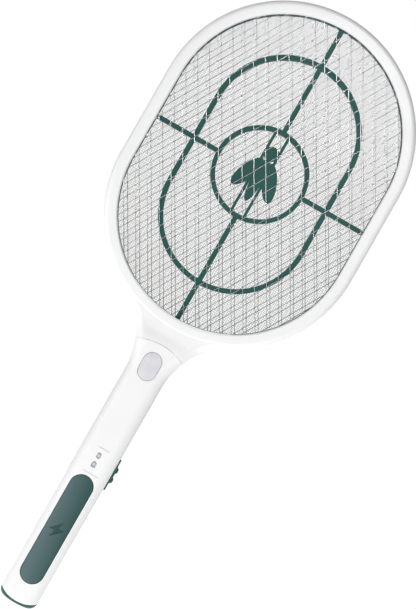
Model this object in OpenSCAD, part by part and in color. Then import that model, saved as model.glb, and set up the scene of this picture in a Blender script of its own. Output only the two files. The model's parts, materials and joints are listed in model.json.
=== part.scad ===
// Electric fly swatter: an oval three-layer grid head on a battery handle with a torch and a side switch.
// Each piece is drawn lying face up: X across, Y along the handle from its end, Z towards the front face.
// stand_up() then turns it upright, with +Z towards the head, the front facing -Y and the origin in the grip.

/* [Overall] */
// Length from the handle's end to the top of the head
overall_len = 520; // [480:1:560]
// Width of the head
head_w = 204; // [180:1:224]
// Height of the head
head_h = 278; // [250:1:300]
// Point of the handle that a hand closes around, which is the origin
grip_mid = 66; // [50:1:90]

/* [Head frame] */
// Width of the frame's rim, seen from the front
rim_w = 10.4; // [9.5:0.1:16]
// Depth of the head frame, front to back
rim_depth = 22; // [18:0.5:30]
// Rounding of the rim's outer edge
rim_outer_r = 4; // [1:0.1:4.5]
// Rounding of the rim's inner edge
rim_inner_r = 2; // [0.5:0.1:2.5]
// How far the grids reach into the rim
grid_bite = 5; // [3:0.1:5.2]
// Clearance round the grids inside the rim
grid_gap = 0.3; // [0.1:0.1:0.6]

/* [Grids] */
// Wire thickness of the two outer grids
wire_d = 0.7; // [0.5:0.1:1.2]
// Width of one diamond
diamond_w = 10.6; // [9:0.1:16]
// Height of one diamond
diamond_h = 18.3; // [15:0.1:28]
// How far the rear grid's pattern sits to the side of the front one's
rear_grid_across = 3.6; // [0:0.1:5]
// How far the rear grid's pattern sits above the front one's
rear_grid_up = -0.8; // [-4:0.1:4]
// Thickness of the live middle grid
live_t = 0.6; // [0.4:0.1:1]
// Spacing of the live grid's bars
live_pitch = 11; // [9:0.5:16]
// Width of the live grid's bars
live_bar = 1; // [0.6:0.1:1.6]

/* [Spacer frames] */
// Thickness of each green spacer frame, which sets the gap between grids
spacer_t = 4.6; // [3:0.1:5]
// How far the spacer's rim shows inside the head frame
spacer_show = 0.2; // [0:0.1:3]
// Width of the upright bar
upright_bar_w = 3.9; // [2.5:0.1:6]
// Width of the cross bar
cross_bar_w = 3.5; // [2.5:0.1:6]
// Width of the oval ring, outside
oval_w = 121; // [100:1:140]
// Height of the oval ring, outside
oval_h = 195; // [160:1:210]
// Width of the oval ring's bar
oval_bar_w = 3.9; // [2.5:0.1:6]
// Outer diameter of the round ring
ring_d = 76.5; // [60:0.5:90]
// Width of the round ring's bar
ring_bar_w = 3.5; // [2.5:0.1:6]
// Distance between the two thin bars inside the round ring
twin_gap = 11.2; // [8:0.1:16]
// Width of each thin bar
twin_bar_w = 2.3; // [1.5:0.1:3]
// Height of the fly figure in the middle
figure_h = 50; // [36:1:56]
// Width of the fly figure across its wings
figure_w = 34; // [26:1:44]

/* [Handle] */
// Width of the handle
handle_w = 32; // [30:0.5:38]
// Depth of the handle, front to back
handle_depth = 28; // [26.5:0.5:34]
// Rounding of the handle's long edges
handle_r = 9; // [6:0.5:11]
// Wall thickness of the handle shells
wall = 2; // [1.6:0.1:2.6]
// Length of the neck, from where the handle begins to widen up to the rim
neck_len = 42; // [36:1:50]
// Distance of the seam between handle and head below the rim, at its middle
seam_drop = 13; // [10:0.5:16]
// Radius of that arched seam
seam_r = 50; // [40:1:80]

/* [Grip pad] */
// Width of the grip pad
pad_w = 18.9; // [14:0.1:22]
// Length of the grip pad
pad_len = 94.2; // [70:0.1:100]
// Height of the grip pad's middle
pad_mid = 66; // [58:0.1:72]
// Depth of the grip pad's seat in the shell
pad_seat = 1.2; // [0.8:0.1:1.4]
// How far the grip pad stands proud of the shell
pad_proud = 0.3; // [0.1:0.1:1]

/* [Torch] */
// Width of the torch lens
lens_w = 15.1; // [12:0.1:18]
// Height of the torch lens
lens_h = 23.1; // [20:0.1:25]
// Distance of the lens's middle below the rim
lens_drop = 31.9; // [31:0.1:34]
// Diameter of each torch LED
torch_led_d = 5; // [3:0.5:5]

/* [Indicators] */
// Width of the charge window
window_w = 3.2; // [2.6:0.1:4]
// Width of the power window
power_w = 2.8; // [2.4:0.1:4]
// Height of the power window
power_h = 4.4; // [4:0.1:5.4]
// Height of the power window's middle
power_mid = 131.2; // [130:0.1:134]
// Height of the battery-shaped charge window
charge_h = 5.6; // [4.6:0.1:6]
// Height of the charge window's middle
charge_mid = 123.1; // [120:0.1:124]

/* [Side switch] */
// Height of the switch's middle
switch_mid = 122.4; // [120:0.1:128]
// Travel of the knob each way
switch_travel = 3; // [2:0.5:3.5]
// Length of the switch plate
bezel_len = 26.6; // [25:0.1:32]
// Width of the switch plate
bezel_w = 10; // [9:0.1:12]
// How far the switch plate stands proud of the handle
bezel_proud = 1.1; // [1:0.1:2]
// Length of the knob
knob_len = 14; // [12:0.1:16]
// Width of the knob
knob_w = 8; // [6:0.1:8.8]
// Height of the knob's ridges above the switch plate
knob_rise = 1.7; // [1.2:0.1:3]

/* [End cap] */
// Rounding of the handle's end, seen from the front
butt_r = 8; // [5:0.5:9]
// Rounding of the handle's end, seen from the side
butt_side_r = 6; // [4:0.5:8]
// Height of the cap at its middle
cap_mid_h = 2.5; // [2:0.1:4]
// Height of the cap at the handle's sides
cap_side_h = 7.3; // [5:0.1:8]

/* [Battery and board] */
// Diameter of the battery cell
cell_d = 18; // [14:0.5:19]
// Length of the battery cell
cell_len = 65; // [50:1:65]
// Height of the battery cell's lower end
cell_base = 22; // [21:0.5:24]
// Width of the circuit board
board_w = 24; // [20:0.5:25]
// Length of the circuit board
board_len = 88; // [80:1:90]
// Thickness of the circuit board
board_t = 1.6; // [1:0.1:2]

/* [Fasteners and wires] */
// Thread diameter of every self-tapping screw
screw_d = 2; // [1.6:0.1:2.4]
// Number of screws round the head
head_screw_count = 8; // [6:2:12]
// Diameter of the insulated wires
lead_d = 1.3; // [0.8:0.1:1.6]

/* [Hidden] */
$fn = 48;
eps = 0.01;

// colours
white_plastic = [0.95, 0.95, 0.95];
green_plastic = [0.16, 0.34, 0.31];
pad_green = [0.2, 0.36, 0.34];
wire_grey = [0.75, 0.76, 0.77];
frosted = [0.83, 0.82, 0.86];

// cutting blocks
far = overall_len + head_w;                   // reaches past every piece
through = 10;                                 // goes right through a wall

// head
head_mid = overall_len - head_h / 2;
half_w = head_w / 2;
half_straight = (head_h - head_w) / 2;        // half the length of the oval's straight sides
open_r = half_w - rim_w;                      // radius of the opening's round ends
half_depth = rim_depth / 2;
grid_r = open_r + grid_bite;                  // radius of the grids' round ends
groove_r = grid_r + grid_gap;
live_top = live_t / 2;
spacer_top = live_top + spacer_t;
mesh_top = spacer_top + wire_d;               // front face of the outer grid, where the rim's lip begins

// heights along the neck, from the lowest point of the rim
rim_foot = overall_len - head_h;
flare_start = rim_foot - neck_len;
seam_top = rim_foot - seam_drop;
lens_mid = rim_foot - lens_drop;

// flare between the handle and the head: an arc that meets both the handle's side and the rim
arc_rise = head_mid - half_straight - flare_start;
side = handle_w / 2;
flare_r = (side * side + arc_rise * arc_rise - half_w * half_w) / (2 * (half_w - side));
flare_angle = atan2(arc_rise, side + flare_r);
touch_x = half_w * cos(flare_angle);
touch_y = head_mid - half_straight - half_w * sin(flare_angle);
web_half = half_depth - 0.6;                  // half depth of the neck web where it meets the rim
web_low = seam_top - 6;                       // the web thins from here
web_high = rim_foot + 2;                      // to here
wire_room_w = 30;
wire_room_d = 16;
grid_lead_x = 6;                              // where the outer grids' wires pass the rim
grid_lead_z = spacer_top + wire_d / 2;

// handle
front = handle_depth / 2;                     // height of the handle's front face
inner_front = front - wall;
inner_side = side - wall;
inner_r = handle_r - wall;
lead_x = inner_side - 2.4;                    // place of the wires that pass the battery
lead_z = -inner_front / 2;
seam_centre = seam_top - seam_r;
cap_drop = cap_side_h - cap_mid_h;
cap_arc_r = (side * side + cap_drop * cap_drop) / (2 * cap_drop);
fit_gap = 0.3;                                // gap between the end cap's spigot and the shells
spigot_top = 9.2;
spigot_wall = 1.6;
socket_w = 8;
socket_d = 3.2;
socket_top = 7.5;

// board, with its face up and its parts on the front
cell_high = cell_base + cell_len;
board_top = -3.5;
board_low = cell_high + 11;
board_high = board_low + board_len;
post_d = 4;
core_y = board_low + 54;                      // middle of the transformer
core_w = 14;
core_h = 11;
core_wall = 2;

// screws through the rear shells
handle_screw_at = [cell_base - 8, cell_high + 6, lens_mid - lens_h / 2 - 7];
boss_d = 6.4;
screw_head_d = 2.1 * screw_d;
screw_head_t = 0.9 * screw_d;
head_sink = 1.5;                              // how deep the screw heads sit
screw_gap = 0.4;                              // play of a screw in the piece that it clamps
tongue_low = flare_start + 7;
tongue_w = 24;
tongue_t = 2.6;
tongue_gap = 0.3;
neck_screw_x = 8;
neck_screw_y = flare_start + 14;
neck_boss_top = -2.4;
neck_head_t = wall / 2;                       // thin heads, sunk in the wall
neck_screw_l = front - 3;
rim_screw_r = open_r + grid_bite + 0.55 * screw_d + 0.8;

// side switch, across the handle from the inside out
lever_t = 2;
lever_h = 2.4;
flange_half = knob_len / 2 + switch_travel - 1;
bezel_top = side + bezel_proud;
pocket = 0.6;                                 // how deep the switch plate sits in the handle's side
knob_gap = 0.2;
stem_w = 4;                                   // square stem between the knob and the shield behind the plate
shield_h = 6;
shield_t = 1;
stem_base = side - pocket - 1.2;
slot_half = stem_w / 2 + switch_travel + 0.5;

function wing_point(a, cx, cy, rx, ry, turn) = [
  cx + rx * cos(a) * cos(turn) - ry * sin(a) * sin(turn),
  cy + rx * cos(a) * sin(turn) + ry * sin(a) * cos(turn)
];

// ---- shapes used by several pieces ----

module stand_up() {
  rotate([90, 0, 0]) translate([0, -grip_mid, 0]) children();
}

// Extrudes an X-Z section along Y from low to high
module along(low, high) {
  translate([0, high, 0]) rotate([90, 0, 0]) linear_extrude(high - low) children();
}

// Extrudes a Y-Z side view across X, centred
module across(width) {
  translate([-width / 2, 0, 0]) rotate([90, 0, 90]) linear_extrude(width) children();
}

module slab(low, high) {
  translate([0, 0, low]) linear_extrude(high - low) children();
}

module stadium(r, half_len) {
  square([2 * r, 2 * half_len], center = true);
  for (s = [-1, 1]) translate([0, s * half_len]) circle(r, $fn = 96);
}

module round_rect(w, h, r) {
  square([w, h - 2 * r], center = true);
  square([w - 2 * r, h], center = true);
  for (sx = [-1, 1], sy = [-1, 1]) translate([sx * (w / 2 - r), sy * (h / 2 - r)]) circle(r);
}

module obround(w, h) {
  stadium(w / 2, (h - w) / 2);
}

module at_head() {
  translate([0, head_mid]) children();
}

// Carries a section, drawn with X as the distance from the oval's spine, round the oval
module round_oval() {
  translate([0, head_mid, 0]) {
    for (turn = [0, 180]) rotate([0, 0, turn]) {
      translate([0, half_straight, 0]) rotate_extrude(angle = 180, $fn = 96) children();
      translate([0, half_straight, 0]) rotate([90, 0, 0]) linear_extrude(2 * half_straight) children();
    }
  }
}

module front_half() {
  intersection() {
    children();
    translate([-far, -far, 0]) cube([2 * far, 2 * far, far]);
  }
}

module rear_half() {
  intersection() {
    children();
    translate([-far, -far, -far]) cube([2 * far, 2 * far, far]);
  }
}

// A round bar between two points
module rod(a, b, d) {
  v = b - a;
  translate(a) rotate([0, acos(v[2] / norm(v)), atan2(v[1], v[0])]) cylinder(d = d, h = norm(v), $fn = 24);
}

function unit(v) = v / norm(v);

// Cuts the corners of a route once, keeping its ends
function soften(p) = [
  p[0],
  for (i = [0:len(p) - 2]) each [0.75 * p[i] + 0.25 * p[i + 1], 0.25 * p[i] + 0.75 * p[i + 1]],
  p[len(p) - 1]
];

// Direction of a route at its point i
function heading(p, i) = unit(
  (i > 0 ? unit(p[i] - p[i - 1]) : [0, 0, 0]) + (i < len(p) - 1 ? unit(p[i + 1] - p[i]) : [0, 0, 0]));

// Ring of points square to a route
function wire_ring(at, dir, r, sides) =
  let (u = unit(cross(dir, [0, 0, 1])), v = cross(u, dir))
  [for (k = [0:sides - 1]) at + r * (cos(360 * k / sides) * u + sin(360 * k / sides) * v)];

// Wire of diameter lead_d along a route
module lead(route) {
  sides = 8;
  p = soften(soften(route));
  n = len(p);
  polyhedron(
    points = [for (i = [0:n - 1]) each wire_ring(p[i], heading(p, i), lead_d / 2, sides)],
    faces = [
      [for (k = [0:sides - 1]) k],
      for (i = [0:n - 2], k = [0:sides - 1]) let (a = i * sides + k, b = i * sides + (k + 1) % sides)
        each [[a, a + sides, b + sides], [a, b + sides, b]],
      [for (k = [sides - 1:-1:0]) (n - 1) * sides + k]
    ]
  );
}

module screw(length, head_t) {
  difference() {
    union() {
      cylinder(d = screw_d, h = length, $fn = 24);
      cylinder(d = screw_head_d, h = head_t, $fn = 24);
    }
    for (turn = [0, 90]) rotate([0, 0, turn]) translate([-screw_head_d / 3, -0.25, -1])
      cube([screw_head_d / 1.5, 0.5, 1 + head_t / 2]);
  }
}

// ---- head ----

// Section of the whole rim, rounded at its four edges
module rim_section() {
  corner_in = open_r + rim_inner_r;
  corner_out = half_w - rim_outer_r;
  for (s = [-1, 1]) {
    translate([corner_in, s * (half_depth - rim_inner_r)]) circle(rim_inner_r);
    translate([corner_out, s * (half_depth - rim_outer_r)]) circle(rim_outer_r);
  }
  translate([open_r, rim_inner_r - half_depth]) square([rim_w / 2, rim_depth - 2 * rim_inner_r]);
  translate([open_r + rim_w / 2, rim_outer_r - half_depth]) square([rim_w / 2, rim_depth - 2 * rim_outer_r]);
  translate([corner_in, -half_depth]) square([corner_out - corner_in, rim_depth]);
}

// Edge rounding of the handle, carried up the flare on both sides
module flare_solid() {
  slab(-front, front) difference() {
    polygon([[-touch_x, touch_y], [-touch_x, flare_start], [touch_x, flare_start], [touch_x, touch_y]]);
    for (s = [-1, 1]) translate([s * (side + flare_r), flare_start]) circle(flare_r + handle_r, $fn = 96);
  }
  for (s = [0, 1]) mirror([s, 0, 0]) translate([-side - flare_r, flare_start, 0])
    rotate_extrude(angle = flare_angle, $fn = 96) {
      translate([flare_r + handle_r / 2, 0]) square([handle_r, handle_depth - 2 * handle_r], center = true);
      intersection() {
        translate([flare_r, -front]) square([handle_r, handle_depth]);
        for (e = [-1, 1]) translate([flare_r + handle_r, e * (front - handle_r)]) circle(handle_r);
      }
    }
}

// Everything below the arched seam
module below_seam() {
  slab(-far, far) {
    translate([0, seam_centre]) circle(seam_r, $fn = 96);
    translate([-far, -far]) square([2 * far, far + seam_centre]);
  }
}

// Neck web: the flare above the seam, thinning towards the rim
module neck_web() {
  difference() {
    intersection() {
      flare_solid();
      across(2 * touch_x) polygon([
        [flare_start, front], [web_low, front], [web_high, web_half], [touch_y + 1, web_half],
        [touch_y + 1, -web_half], [web_high, -web_half], [web_low, -front], [flare_start, -front]
      ]);
    }
    below_seam();
  }
}

module head_body() {
  difference() {
    union() {
      round_oval() rim_section();
      neck_web();
    }
    slab(-mesh_top, mesh_top) at_head() stadium(groove_r, half_straight);
    slab(-far, far) at_head() stadium(open_r, half_straight);
    // room in the neck for the wires
    translate([-wire_room_w / 2, flare_start, -wire_room_d / 2])
      cube([wire_room_w, rim_foot + 1 - flare_start, wire_room_d]);
    // one hole for each grid's wire
    along(rim_foot - 1, rim_foot + 6) for (s = [-1, 0, 1])
      translate([s * grid_lead_x, s * grid_lead_z]) circle(lead_d / 2 + 0.3);
  }
}

// Places a screw or its hole at every point of the rim's screw ring
module at_rim_screws() {
  for (i = [0:head_screw_count - 1]) {
    a = 360 * (i + 0.5) / head_screw_count;
    translate([rim_screw_r * cos(a), head_mid + sign(sin(a)) * half_straight + rim_screw_r * sin(a), 0])
      children();
  }
}

module head_frame_front() {
  color(white_plastic) stand_up() difference() {
    front_half() head_body();
    at_rim_screws() translate([0, 0, -eps]) cylinder(d = screw_d, h = mesh_top + 1, $fn = 24);
  }
}

module head_frame_rear() {
  tongue_base = -inner_front + tongue_gap;
  color(white_plastic) stand_up() difference() {
    union() {
      rear_half() head_body();
      // tongue that slides into the handle, with a boss for each neck screw
      intersection() {
        translate([-tongue_w / 2, tongue_low, tongue_base])
          cube([tongue_w, seam_top + 2 - tongue_low, tongue_t]);
        along(tongue_low - 1, seam_top + 3) round_rect(2 * (inner_side - tongue_gap),
          2 * (inner_front - tongue_gap), inner_r - tongue_gap);
      }
      for (s = [-1, 1]) translate([s * neck_screw_x, neck_screw_y, tongue_base + tongue_t - 0.5])
        cylinder(d = boss_d, h = neck_boss_top - tongue_base - tongue_t + 0.5);
    }
    for (s = [-1, 1]) translate([s * neck_screw_x, neck_screw_y, -front])
      cylinder(d = screw_d, h = neck_screw_l, $fn = 24);
    at_rim_screws() translate([0, 0, -half_depth - 1]) {
      cylinder(d = screw_d + screw_gap, h = half_depth + 1 + eps, $fn = 24);
      cylinder(d = screw_head_d + screw_gap, h = head_sink + screw_head_t + 1);
    }
  }
}

// Flat crossed-wire grid with diamond holes, its pattern moved off the middle by the shift
module diamond_grid(shift = [0, 0]) {
  side_len = norm([diamond_w, diamond_h]) / 2;
  reach = diamond_w * diamond_h / (4 * side_len);           // centre of a diamond to the middle of its wire
  hole = (reach - wire_d / 2) / reach;
  cols = ceil(2 * (grid_r + abs(shift[0])) / diamond_w);
  rows = ceil(2 * (grid_r + half_straight + abs(shift[1])) / diamond_h);
  difference() {
    stadium(grid_r, half_straight);
    intersection() {
      stadium(grid_r - 1.5, half_straight);
      for (i = [-cols:cols], j = [-rows:rows]) {
        px = i * diamond_w / 2 + shift[0];
        py = j * diamond_h / 2 + shift[1];
        past = max(0, abs(py) - half_straight);
        if ((i + j) % 2 == 0 && norm([px, past]) < grid_r + 4)
          translate([px, py]) scale(hole)
            polygon([[diamond_w / 2, 0], [0, diamond_h / 2], [-diamond_w / 2, 0], [0, -diamond_h / 2]]);
      }
    }
  }
}

module front_mesh() {
  color(wire_grey) stand_up() slab(spacer_top, mesh_top) at_head() diamond_grid();
}

module rear_mesh() {
  color(wire_grey) stand_up() slab(-mesh_top, -spacer_top) at_head()
    diamond_grid([rear_grid_across, rear_grid_up]);
}

// Live middle grid of square holes, with a solid edge that the spacers clamp
module high_voltage_mesh() {
  cols = ceil(open_r / live_pitch);
  rows = ceil((open_r + half_straight) / live_pitch);
  color(wire_grey) stand_up() slab(-live_top, live_top) at_head() difference() {
    stadium(grid_r, half_straight);
    intersection() {
      stadium(open_r, half_straight);
      for (i = [-cols:cols], j = [-rows:rows]) {
        past = max(0, abs(j * live_pitch) - half_straight);
        if (norm([i * live_pitch, past]) < open_r + live_pitch)
          translate([i * live_pitch, j * live_pitch]) square(live_pitch - live_bar, center = true);
      }
    }
  }
}

// Rim, cross bars, oval ring and round ring that both spacers share
module spacer_outline() {
  show_r = open_r - spacer_show;
  ring_r = ring_d / 2;
  half_open = open_r + half_straight;
  difference() {
    stadium(grid_r, half_straight);
    stadium(show_r, half_straight);
  }
  difference() {
    obround(oval_w, oval_h);
    obround(oval_w - 2 * oval_bar_w, oval_h - 2 * oval_bar_w);
  }
  difference() {
    circle(ring_r, $fn = 96);
    circle(ring_r - ring_bar_w, $fn = 96);
  }
  difference() {
    union() {
      square([upright_bar_w, 2 * half_open], center = true);
      square([2 * open_r, cross_bar_w], center = true);
    }
    circle(ring_r - ring_bar_w / 2, $fn = 96);
  }
}

module twin_bars() {
  ring_inner = ring_d / 2 - ring_bar_w / 2;
  reach = sqrt(ring_inner * ring_inner - twin_gap * twin_gap / 4);
  for (s = [-1, 1]) translate([s * twin_gap / 2, 0]) square([twin_bar_w, 2 * reach], center = true);
}

// Plain fly figure: head, body and two swept wings
module fly_figure() {
  body_w = 0.27 * figure_w;
  wing_l = 0.31 * figure_h;
  wing_w = 0.17 * figure_w;
  translate([0, 0.36 * figure_h]) circle(0.14 * figure_h / 1.2);
  polygon([for (a = [0:6:354]) wing_point(a, 0, -0.08 * figure_h, body_w / 2, 0.38 * figure_h, 0)]);
  for (s = [-1, 1]) polygon([for (a = [0:6:354])
    wing_point(a, s * 0.29 * figure_w, -0.05 * figure_h, wing_w, wing_l, s * 24)]);
}

module front_spacer() {
  color(green_plastic) stand_up() slab(live_top, spacer_top) at_head() {
    spacer_outline();
    twin_bars();
    fly_figure();
  }
}

module rear_spacer() {
  color(green_plastic) stand_up() slab(-spacer_top, -live_top) at_head() spacer_outline();
}

// ---- handle ----

// Outer form of handle and cap, rounded at the end and widening at the top
module handle_form() {
  intersection() {
    union() {
      along(0, flare_start) round_rect(handle_w, handle_depth, handle_r);
      flare_solid();
    }
    slab(-front - 1, front + 1) {
      translate([-side, butt_r]) square([handle_w, flare_start - butt_r]);
      translate([butt_r - side, 0]) square([handle_w - 2 * butt_r, butt_r]);
      for (s = [-1, 1]) translate([s * (side - butt_r), butt_r]) circle(butt_r);
      translate([-touch_x, flare_start]) square([2 * touch_x, touch_y + 1 - flare_start]);
    }
    across(2 * touch_x) {
      translate([butt_side_r, -front]) square([touch_y, handle_depth]);
      translate([0, butt_side_r - front]) square([butt_side_r, handle_depth - 2 * butt_side_r]);
      for (s = [-1, 1]) translate([butt_side_r, s * (front - butt_side_r)]) circle(butt_side_r);
    }
  }
}

// The curved line where shells and end cap meet
module above_cap() {
  slab(-far, far) {
    translate([0, cap_mid_h + cap_arc_r]) circle(cap_arc_r, $fn = 96);
    translate([-far, cap_side_h]) square([2 * far, far]);
  }
}

module cell_ribs() {
  for (y = [cell_base + 12, cell_high - 12]) along(y, y + 1.6) difference() {
    square([handle_w - 2, handle_depth - 2], center = true);
    circle(d = cell_d + 0.4);
    for (s = [-1, 1]) translate([s * lead_x, lead_z]) circle(lead_d / 2 + 0.4);
  }
}

module handle_cavity() {
  difference() {
    along(-1, seam_top + 20) round_rect(2 * inner_side, 2 * inner_front, inner_r);
    cell_ribs();
  }
}

// Opening in the side wall for the switch, with a shallow seat for its plate
module switch_cut() {
  room_half = flange_half + switch_travel + 0.5;
  translate([side - pocket, switch_mid - bezel_len / 2, -bezel_w / 2]) cube([through, bezel_len, bezel_w]);
  translate([inner_side - 1, switch_mid - room_half, -shield_h / 2 - 0.4])
    cube([through, 2 * room_half, shield_h + 0.8]);
}

module shell_body() {
  difference() {
    intersection() {
      handle_form();
      above_cap();
      below_seam();
    }
    handle_cavity();
    switch_cut();
  }
}

module charge_outline() {
  tip_h = charge_h / 6;
  square([window_w, charge_h - 2 * tip_h], center = true);
  translate([0, charge_h / 2 - tip_h]) square([window_w / 2, 2 * tip_h], center = true);
}

module handle_front_shell() {
  color(white_plastic) stand_up() difference() {
    union() {
      front_half() shell_body();
      for (y = handle_screw_at) translate([0, y, 0]) cylinder(d = boss_d, h = inner_front + eps);
    }
    for (y = handle_screw_at) translate([0, y, -eps]) cylinder(d = screw_d, h = 8, $fn = 24);
    slab(front - pad_seat, front + 1) translate([0, pad_mid]) obround(pad_w, pad_len);
    slab(0, front + 1) translate([0, lens_mid]) obround(lens_w, lens_h);
    slab(0, front + 1) translate([0, power_mid]) round_rect(power_w, power_h, 1);
    slab(0, front + 1) translate([0, charge_mid]) charge_outline();
  }
}

module handle_rear_shell() {
  color(white_plastic) stand_up() difference() {
    union() {
      rear_half() shell_body();
      for (y = handle_screw_at) translate([0, y, -inner_front - eps])
        cylinder(d = boss_d, h = inner_front + eps);
      // posts under the circuit board
      for (s = [-1, 1], y = [board_low + 4, board_high - 4])
        translate([s * (board_w / 2 - 2.4), y, -inner_front - eps])
          cylinder(d = post_d, h = inner_front + eps + board_top - board_t, $fn = 24);
    }
    for (y = handle_screw_at) translate([0, y, -front - 1]) {
      cylinder(d = screw_d + screw_gap, h = front + 2, $fn = 24);
      cylinder(d = screw_head_d + screw_gap, h = 1 + head_sink + screw_head_t);
    }
    for (s = [-1, 1]) translate([s * neck_screw_x, neck_screw_y, -front - 1]) {
      cylinder(d = screw_d + screw_gap, h = through, $fn = 24);
      cylinder(d = screw_head_d + screw_gap, h = 1 + neck_head_t);
    }
  }
}

module grip_pad() {
  bolt = [[0.16, 0.5], [-0.42, -0.1], [-0.03, -0.1], [-0.16, -0.5], [0.42, 0.1], [0.03, 0.1]];
  color(pad_green) stand_up() difference() {
    slab(front - pad_seat, front + pad_proud) translate([0, pad_mid]) obround(pad_w, pad_len);
    slab(front, front + 2) translate([0, pad_mid]) scale(0.79 * pad_w) polygon(bolt);
  }
}

module end_cap() {
  color(green_plastic) stand_up() difference() {
    union() {
      difference() {
        handle_form();
        above_cap();
      }
      // spigot inside the shells
      along(cap_mid_h - 0.5, spigot_top) round_rect(2 * (inner_side - fit_gap), 2 * (inner_front - fit_gap),
        inner_r - fit_gap);
    }
    along(cap_mid_h, spigot_top + 1) round_rect(2 * (inner_side - fit_gap - spigot_wall),
      2 * (inner_front - fit_gap - spigot_wall), inner_r - fit_gap - spigot_wall);
    along(-1, cap_mid_h + 1) round_rect(socket_w, socket_d, 1);
  }
}

module charging_socket() {
  color([0.7, 0.7, 0.72]) stand_up() {
    difference() {
      along(0.5, socket_top) round_rect(socket_w, socket_d, 1);
      along(0, socket_top - 0.7) round_rect(socket_w - 0.8, socket_d - 0.8, 0.6);
    }
    // tongue with the contacts
    along(1.5, socket_top - 0.5) square([5, 0.6], center = true);
  }
}

// ---- torch and indicators ----

module torch_lens() {
  lip = 1.1;
  color(frosted) stand_up() translate([0, lens_mid]) {
    slab(inner_front - 1.4, front + 0.3) obround(lens_w, lens_h);
    slab(inner_front - 1.4, inner_front - 0.4) obround(lens_w + 2 * lip, lens_h + 2 * lip);
  }
}

torch_top = inner_front - 1.6;
torch_floor = 3;
torch_led_y = lens_h / 4;
led_d = 3;                                    // of the indicator LEDs
led_low = inner_front - 6;

module torch_reflector() {
  color([0.85, 0.86, 0.88]) stand_up() translate([0, lens_mid]) difference() {
    slab(torch_floor, torch_top) obround(lens_w + 1.6, lens_h + 1.6);
    slab(torch_floor + 1.2, torch_top + 1) obround(lens_w - 0.4, lens_h - 0.4);
    for (s = [-1, 1]) translate([0, s * torch_led_y, 0]) cylinder(d = torch_led_d + 0.2, h = torch_top);
  }
}

module torch_leds() {
  color([0.95, 0.95, 0.9]) stand_up() for (s = [-1, 1]) translate([0, lens_mid + s * torch_led_y, 0]) {
    translate([0, 0, torch_floor - 1]) cylinder(d = torch_led_d + 0.8, h = 0.9, $fn = 24);
    translate([0, 0, torch_floor - 1]) cylinder(d = torch_led_d, h = 4.5, $fn = 24);
    translate([0, 0, torch_floor + 3.5]) sphere(d = torch_led_d, $fn = 24);
  }
}

module torch_led_board() {
  color([0.1, 0.35, 0.2]) stand_up() slab(torch_floor - 2, torch_floor - 1)
    translate([0, lens_mid]) square([lens_w - 2, lens_h - 3], center = true);
}

module power_window() {
  color(frosted) stand_up() slab(inner_front - 0.6, front + 0.1) translate([0, power_mid])
    round_rect(power_w, power_h, 1);
}

module charge_window() {
  color(frosted) stand_up() slab(inner_front - 0.6, front + 0.1) translate([0, charge_mid]) charge_outline();
}

module indicator_leds() {
  color([0.9, 0.9, 0.85]) stand_up() for (y = [power_mid, charge_mid]) translate([0, y, 0]) {
    translate([0, 0, led_low]) cylinder(d = led_d, h = 3.5, $fn = 24);
    translate([0, 0, led_low + 3.5]) sphere(d = led_d, $fn = 24);
    for (s = [-1, 1]) translate([s * 0.9, 0, board_top]) cylinder(d = 0.5, h = led_low - board_top, $fn = 16);
  }
}

// ---- side switch ----

module switch_bezel() {
  color(green_plastic) stand_up() difference() {
    translate([side - pocket, switch_mid - bezel_len / 2, -bezel_w / 2])
      cube([pocket + bezel_proud, bezel_len, bezel_w]);
    translate([side - through / 2, switch_mid - slot_half, -stem_w / 2 - 0.2])
      cube([through, 2 * slot_half, stem_w + 0.4]);
  }
}

// Knob outside, stem through the plate and a shield behind it
module switch_knob() {
  ridge_r = min(2, knob_rise);
  base = bezel_top + knob_gap;
  color(green_plastic) stand_up() translate([0, switch_mid, 0]) difference() {
    union() {
      translate([base, -knob_len / 2, -knob_w / 2]) cube([knob_rise / 3, knob_len, knob_w]);
      for (s = [-1, 1]) translate([base + knob_rise - ridge_r, s * (knob_len / 4 + 0.35), 0])
        intersection() {
          cylinder(r = ridge_r, h = knob_w, center = true);
          translate([0, -ridge_r, -knob_w / 2]) cube([ridge_r, 2 * ridge_r, knob_w]);
        }
      translate([stem_base, -stem_w / 2, -stem_w / 2]) cube([base - stem_base + 0.1, stem_w, stem_w]);
      translate([stem_base, -flange_half, -shield_h / 2]) cube([shield_t, 2 * flange_half, shield_h]);
    }
    translate([0, -lever_t / 2 - 0.1, -lever_h / 2 - 0.1]) cube([side + 0.6, lever_t + 0.2, lever_h + 0.2]);
  }
}

module slide_switch_lever() {
  color([0.1, 0.1, 0.1]) stand_up()
    translate([inner_side - 2.4, switch_mid - lever_t / 2, -lever_h / 2])
      cube([2.8 + wall, lever_t, lever_h]);
}

module slide_switch_body() {
  lever_slot = lever_t / 2 + switch_travel + 0.3;
  color([0.75, 0.76, 0.78]) stand_up() difference() {
    translate([inner_side - 7.4, switch_mid - 8, board_top]) cube([6.4, 16, 3.4 - board_top]);
    translate([inner_side - 2.7, switch_mid - lever_slot, -lever_h / 2 - 0.2])
      cube([4, 2 * lever_slot, lever_h + 0.4]);
  }
}

// ---- electronics ----

module circuit_board() {
  color([0.1, 0.4, 0.22]) stand_up() slab(board_top - board_t, board_top) difference() {
    translate([-board_w / 2, board_low]) square([board_w, board_high - board_low]);
    translate([board_w / 2 - 1, board_low - 1]) square([2, 5]);
  }
}

// Two E halves of ferrite round the winding
module transformer_core() {
  color([0.2, 0.2, 0.22]) stand_up() translate([-core_w / 2, core_y - core_w / 2, board_top]) difference() {
    cube([core_w, core_w, core_h]);
    translate([core_wall, -1, core_wall])
      cube([core_w - 2 * core_wall, core_w + 2, core_h - 2 * core_wall]);
  }
}

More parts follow.
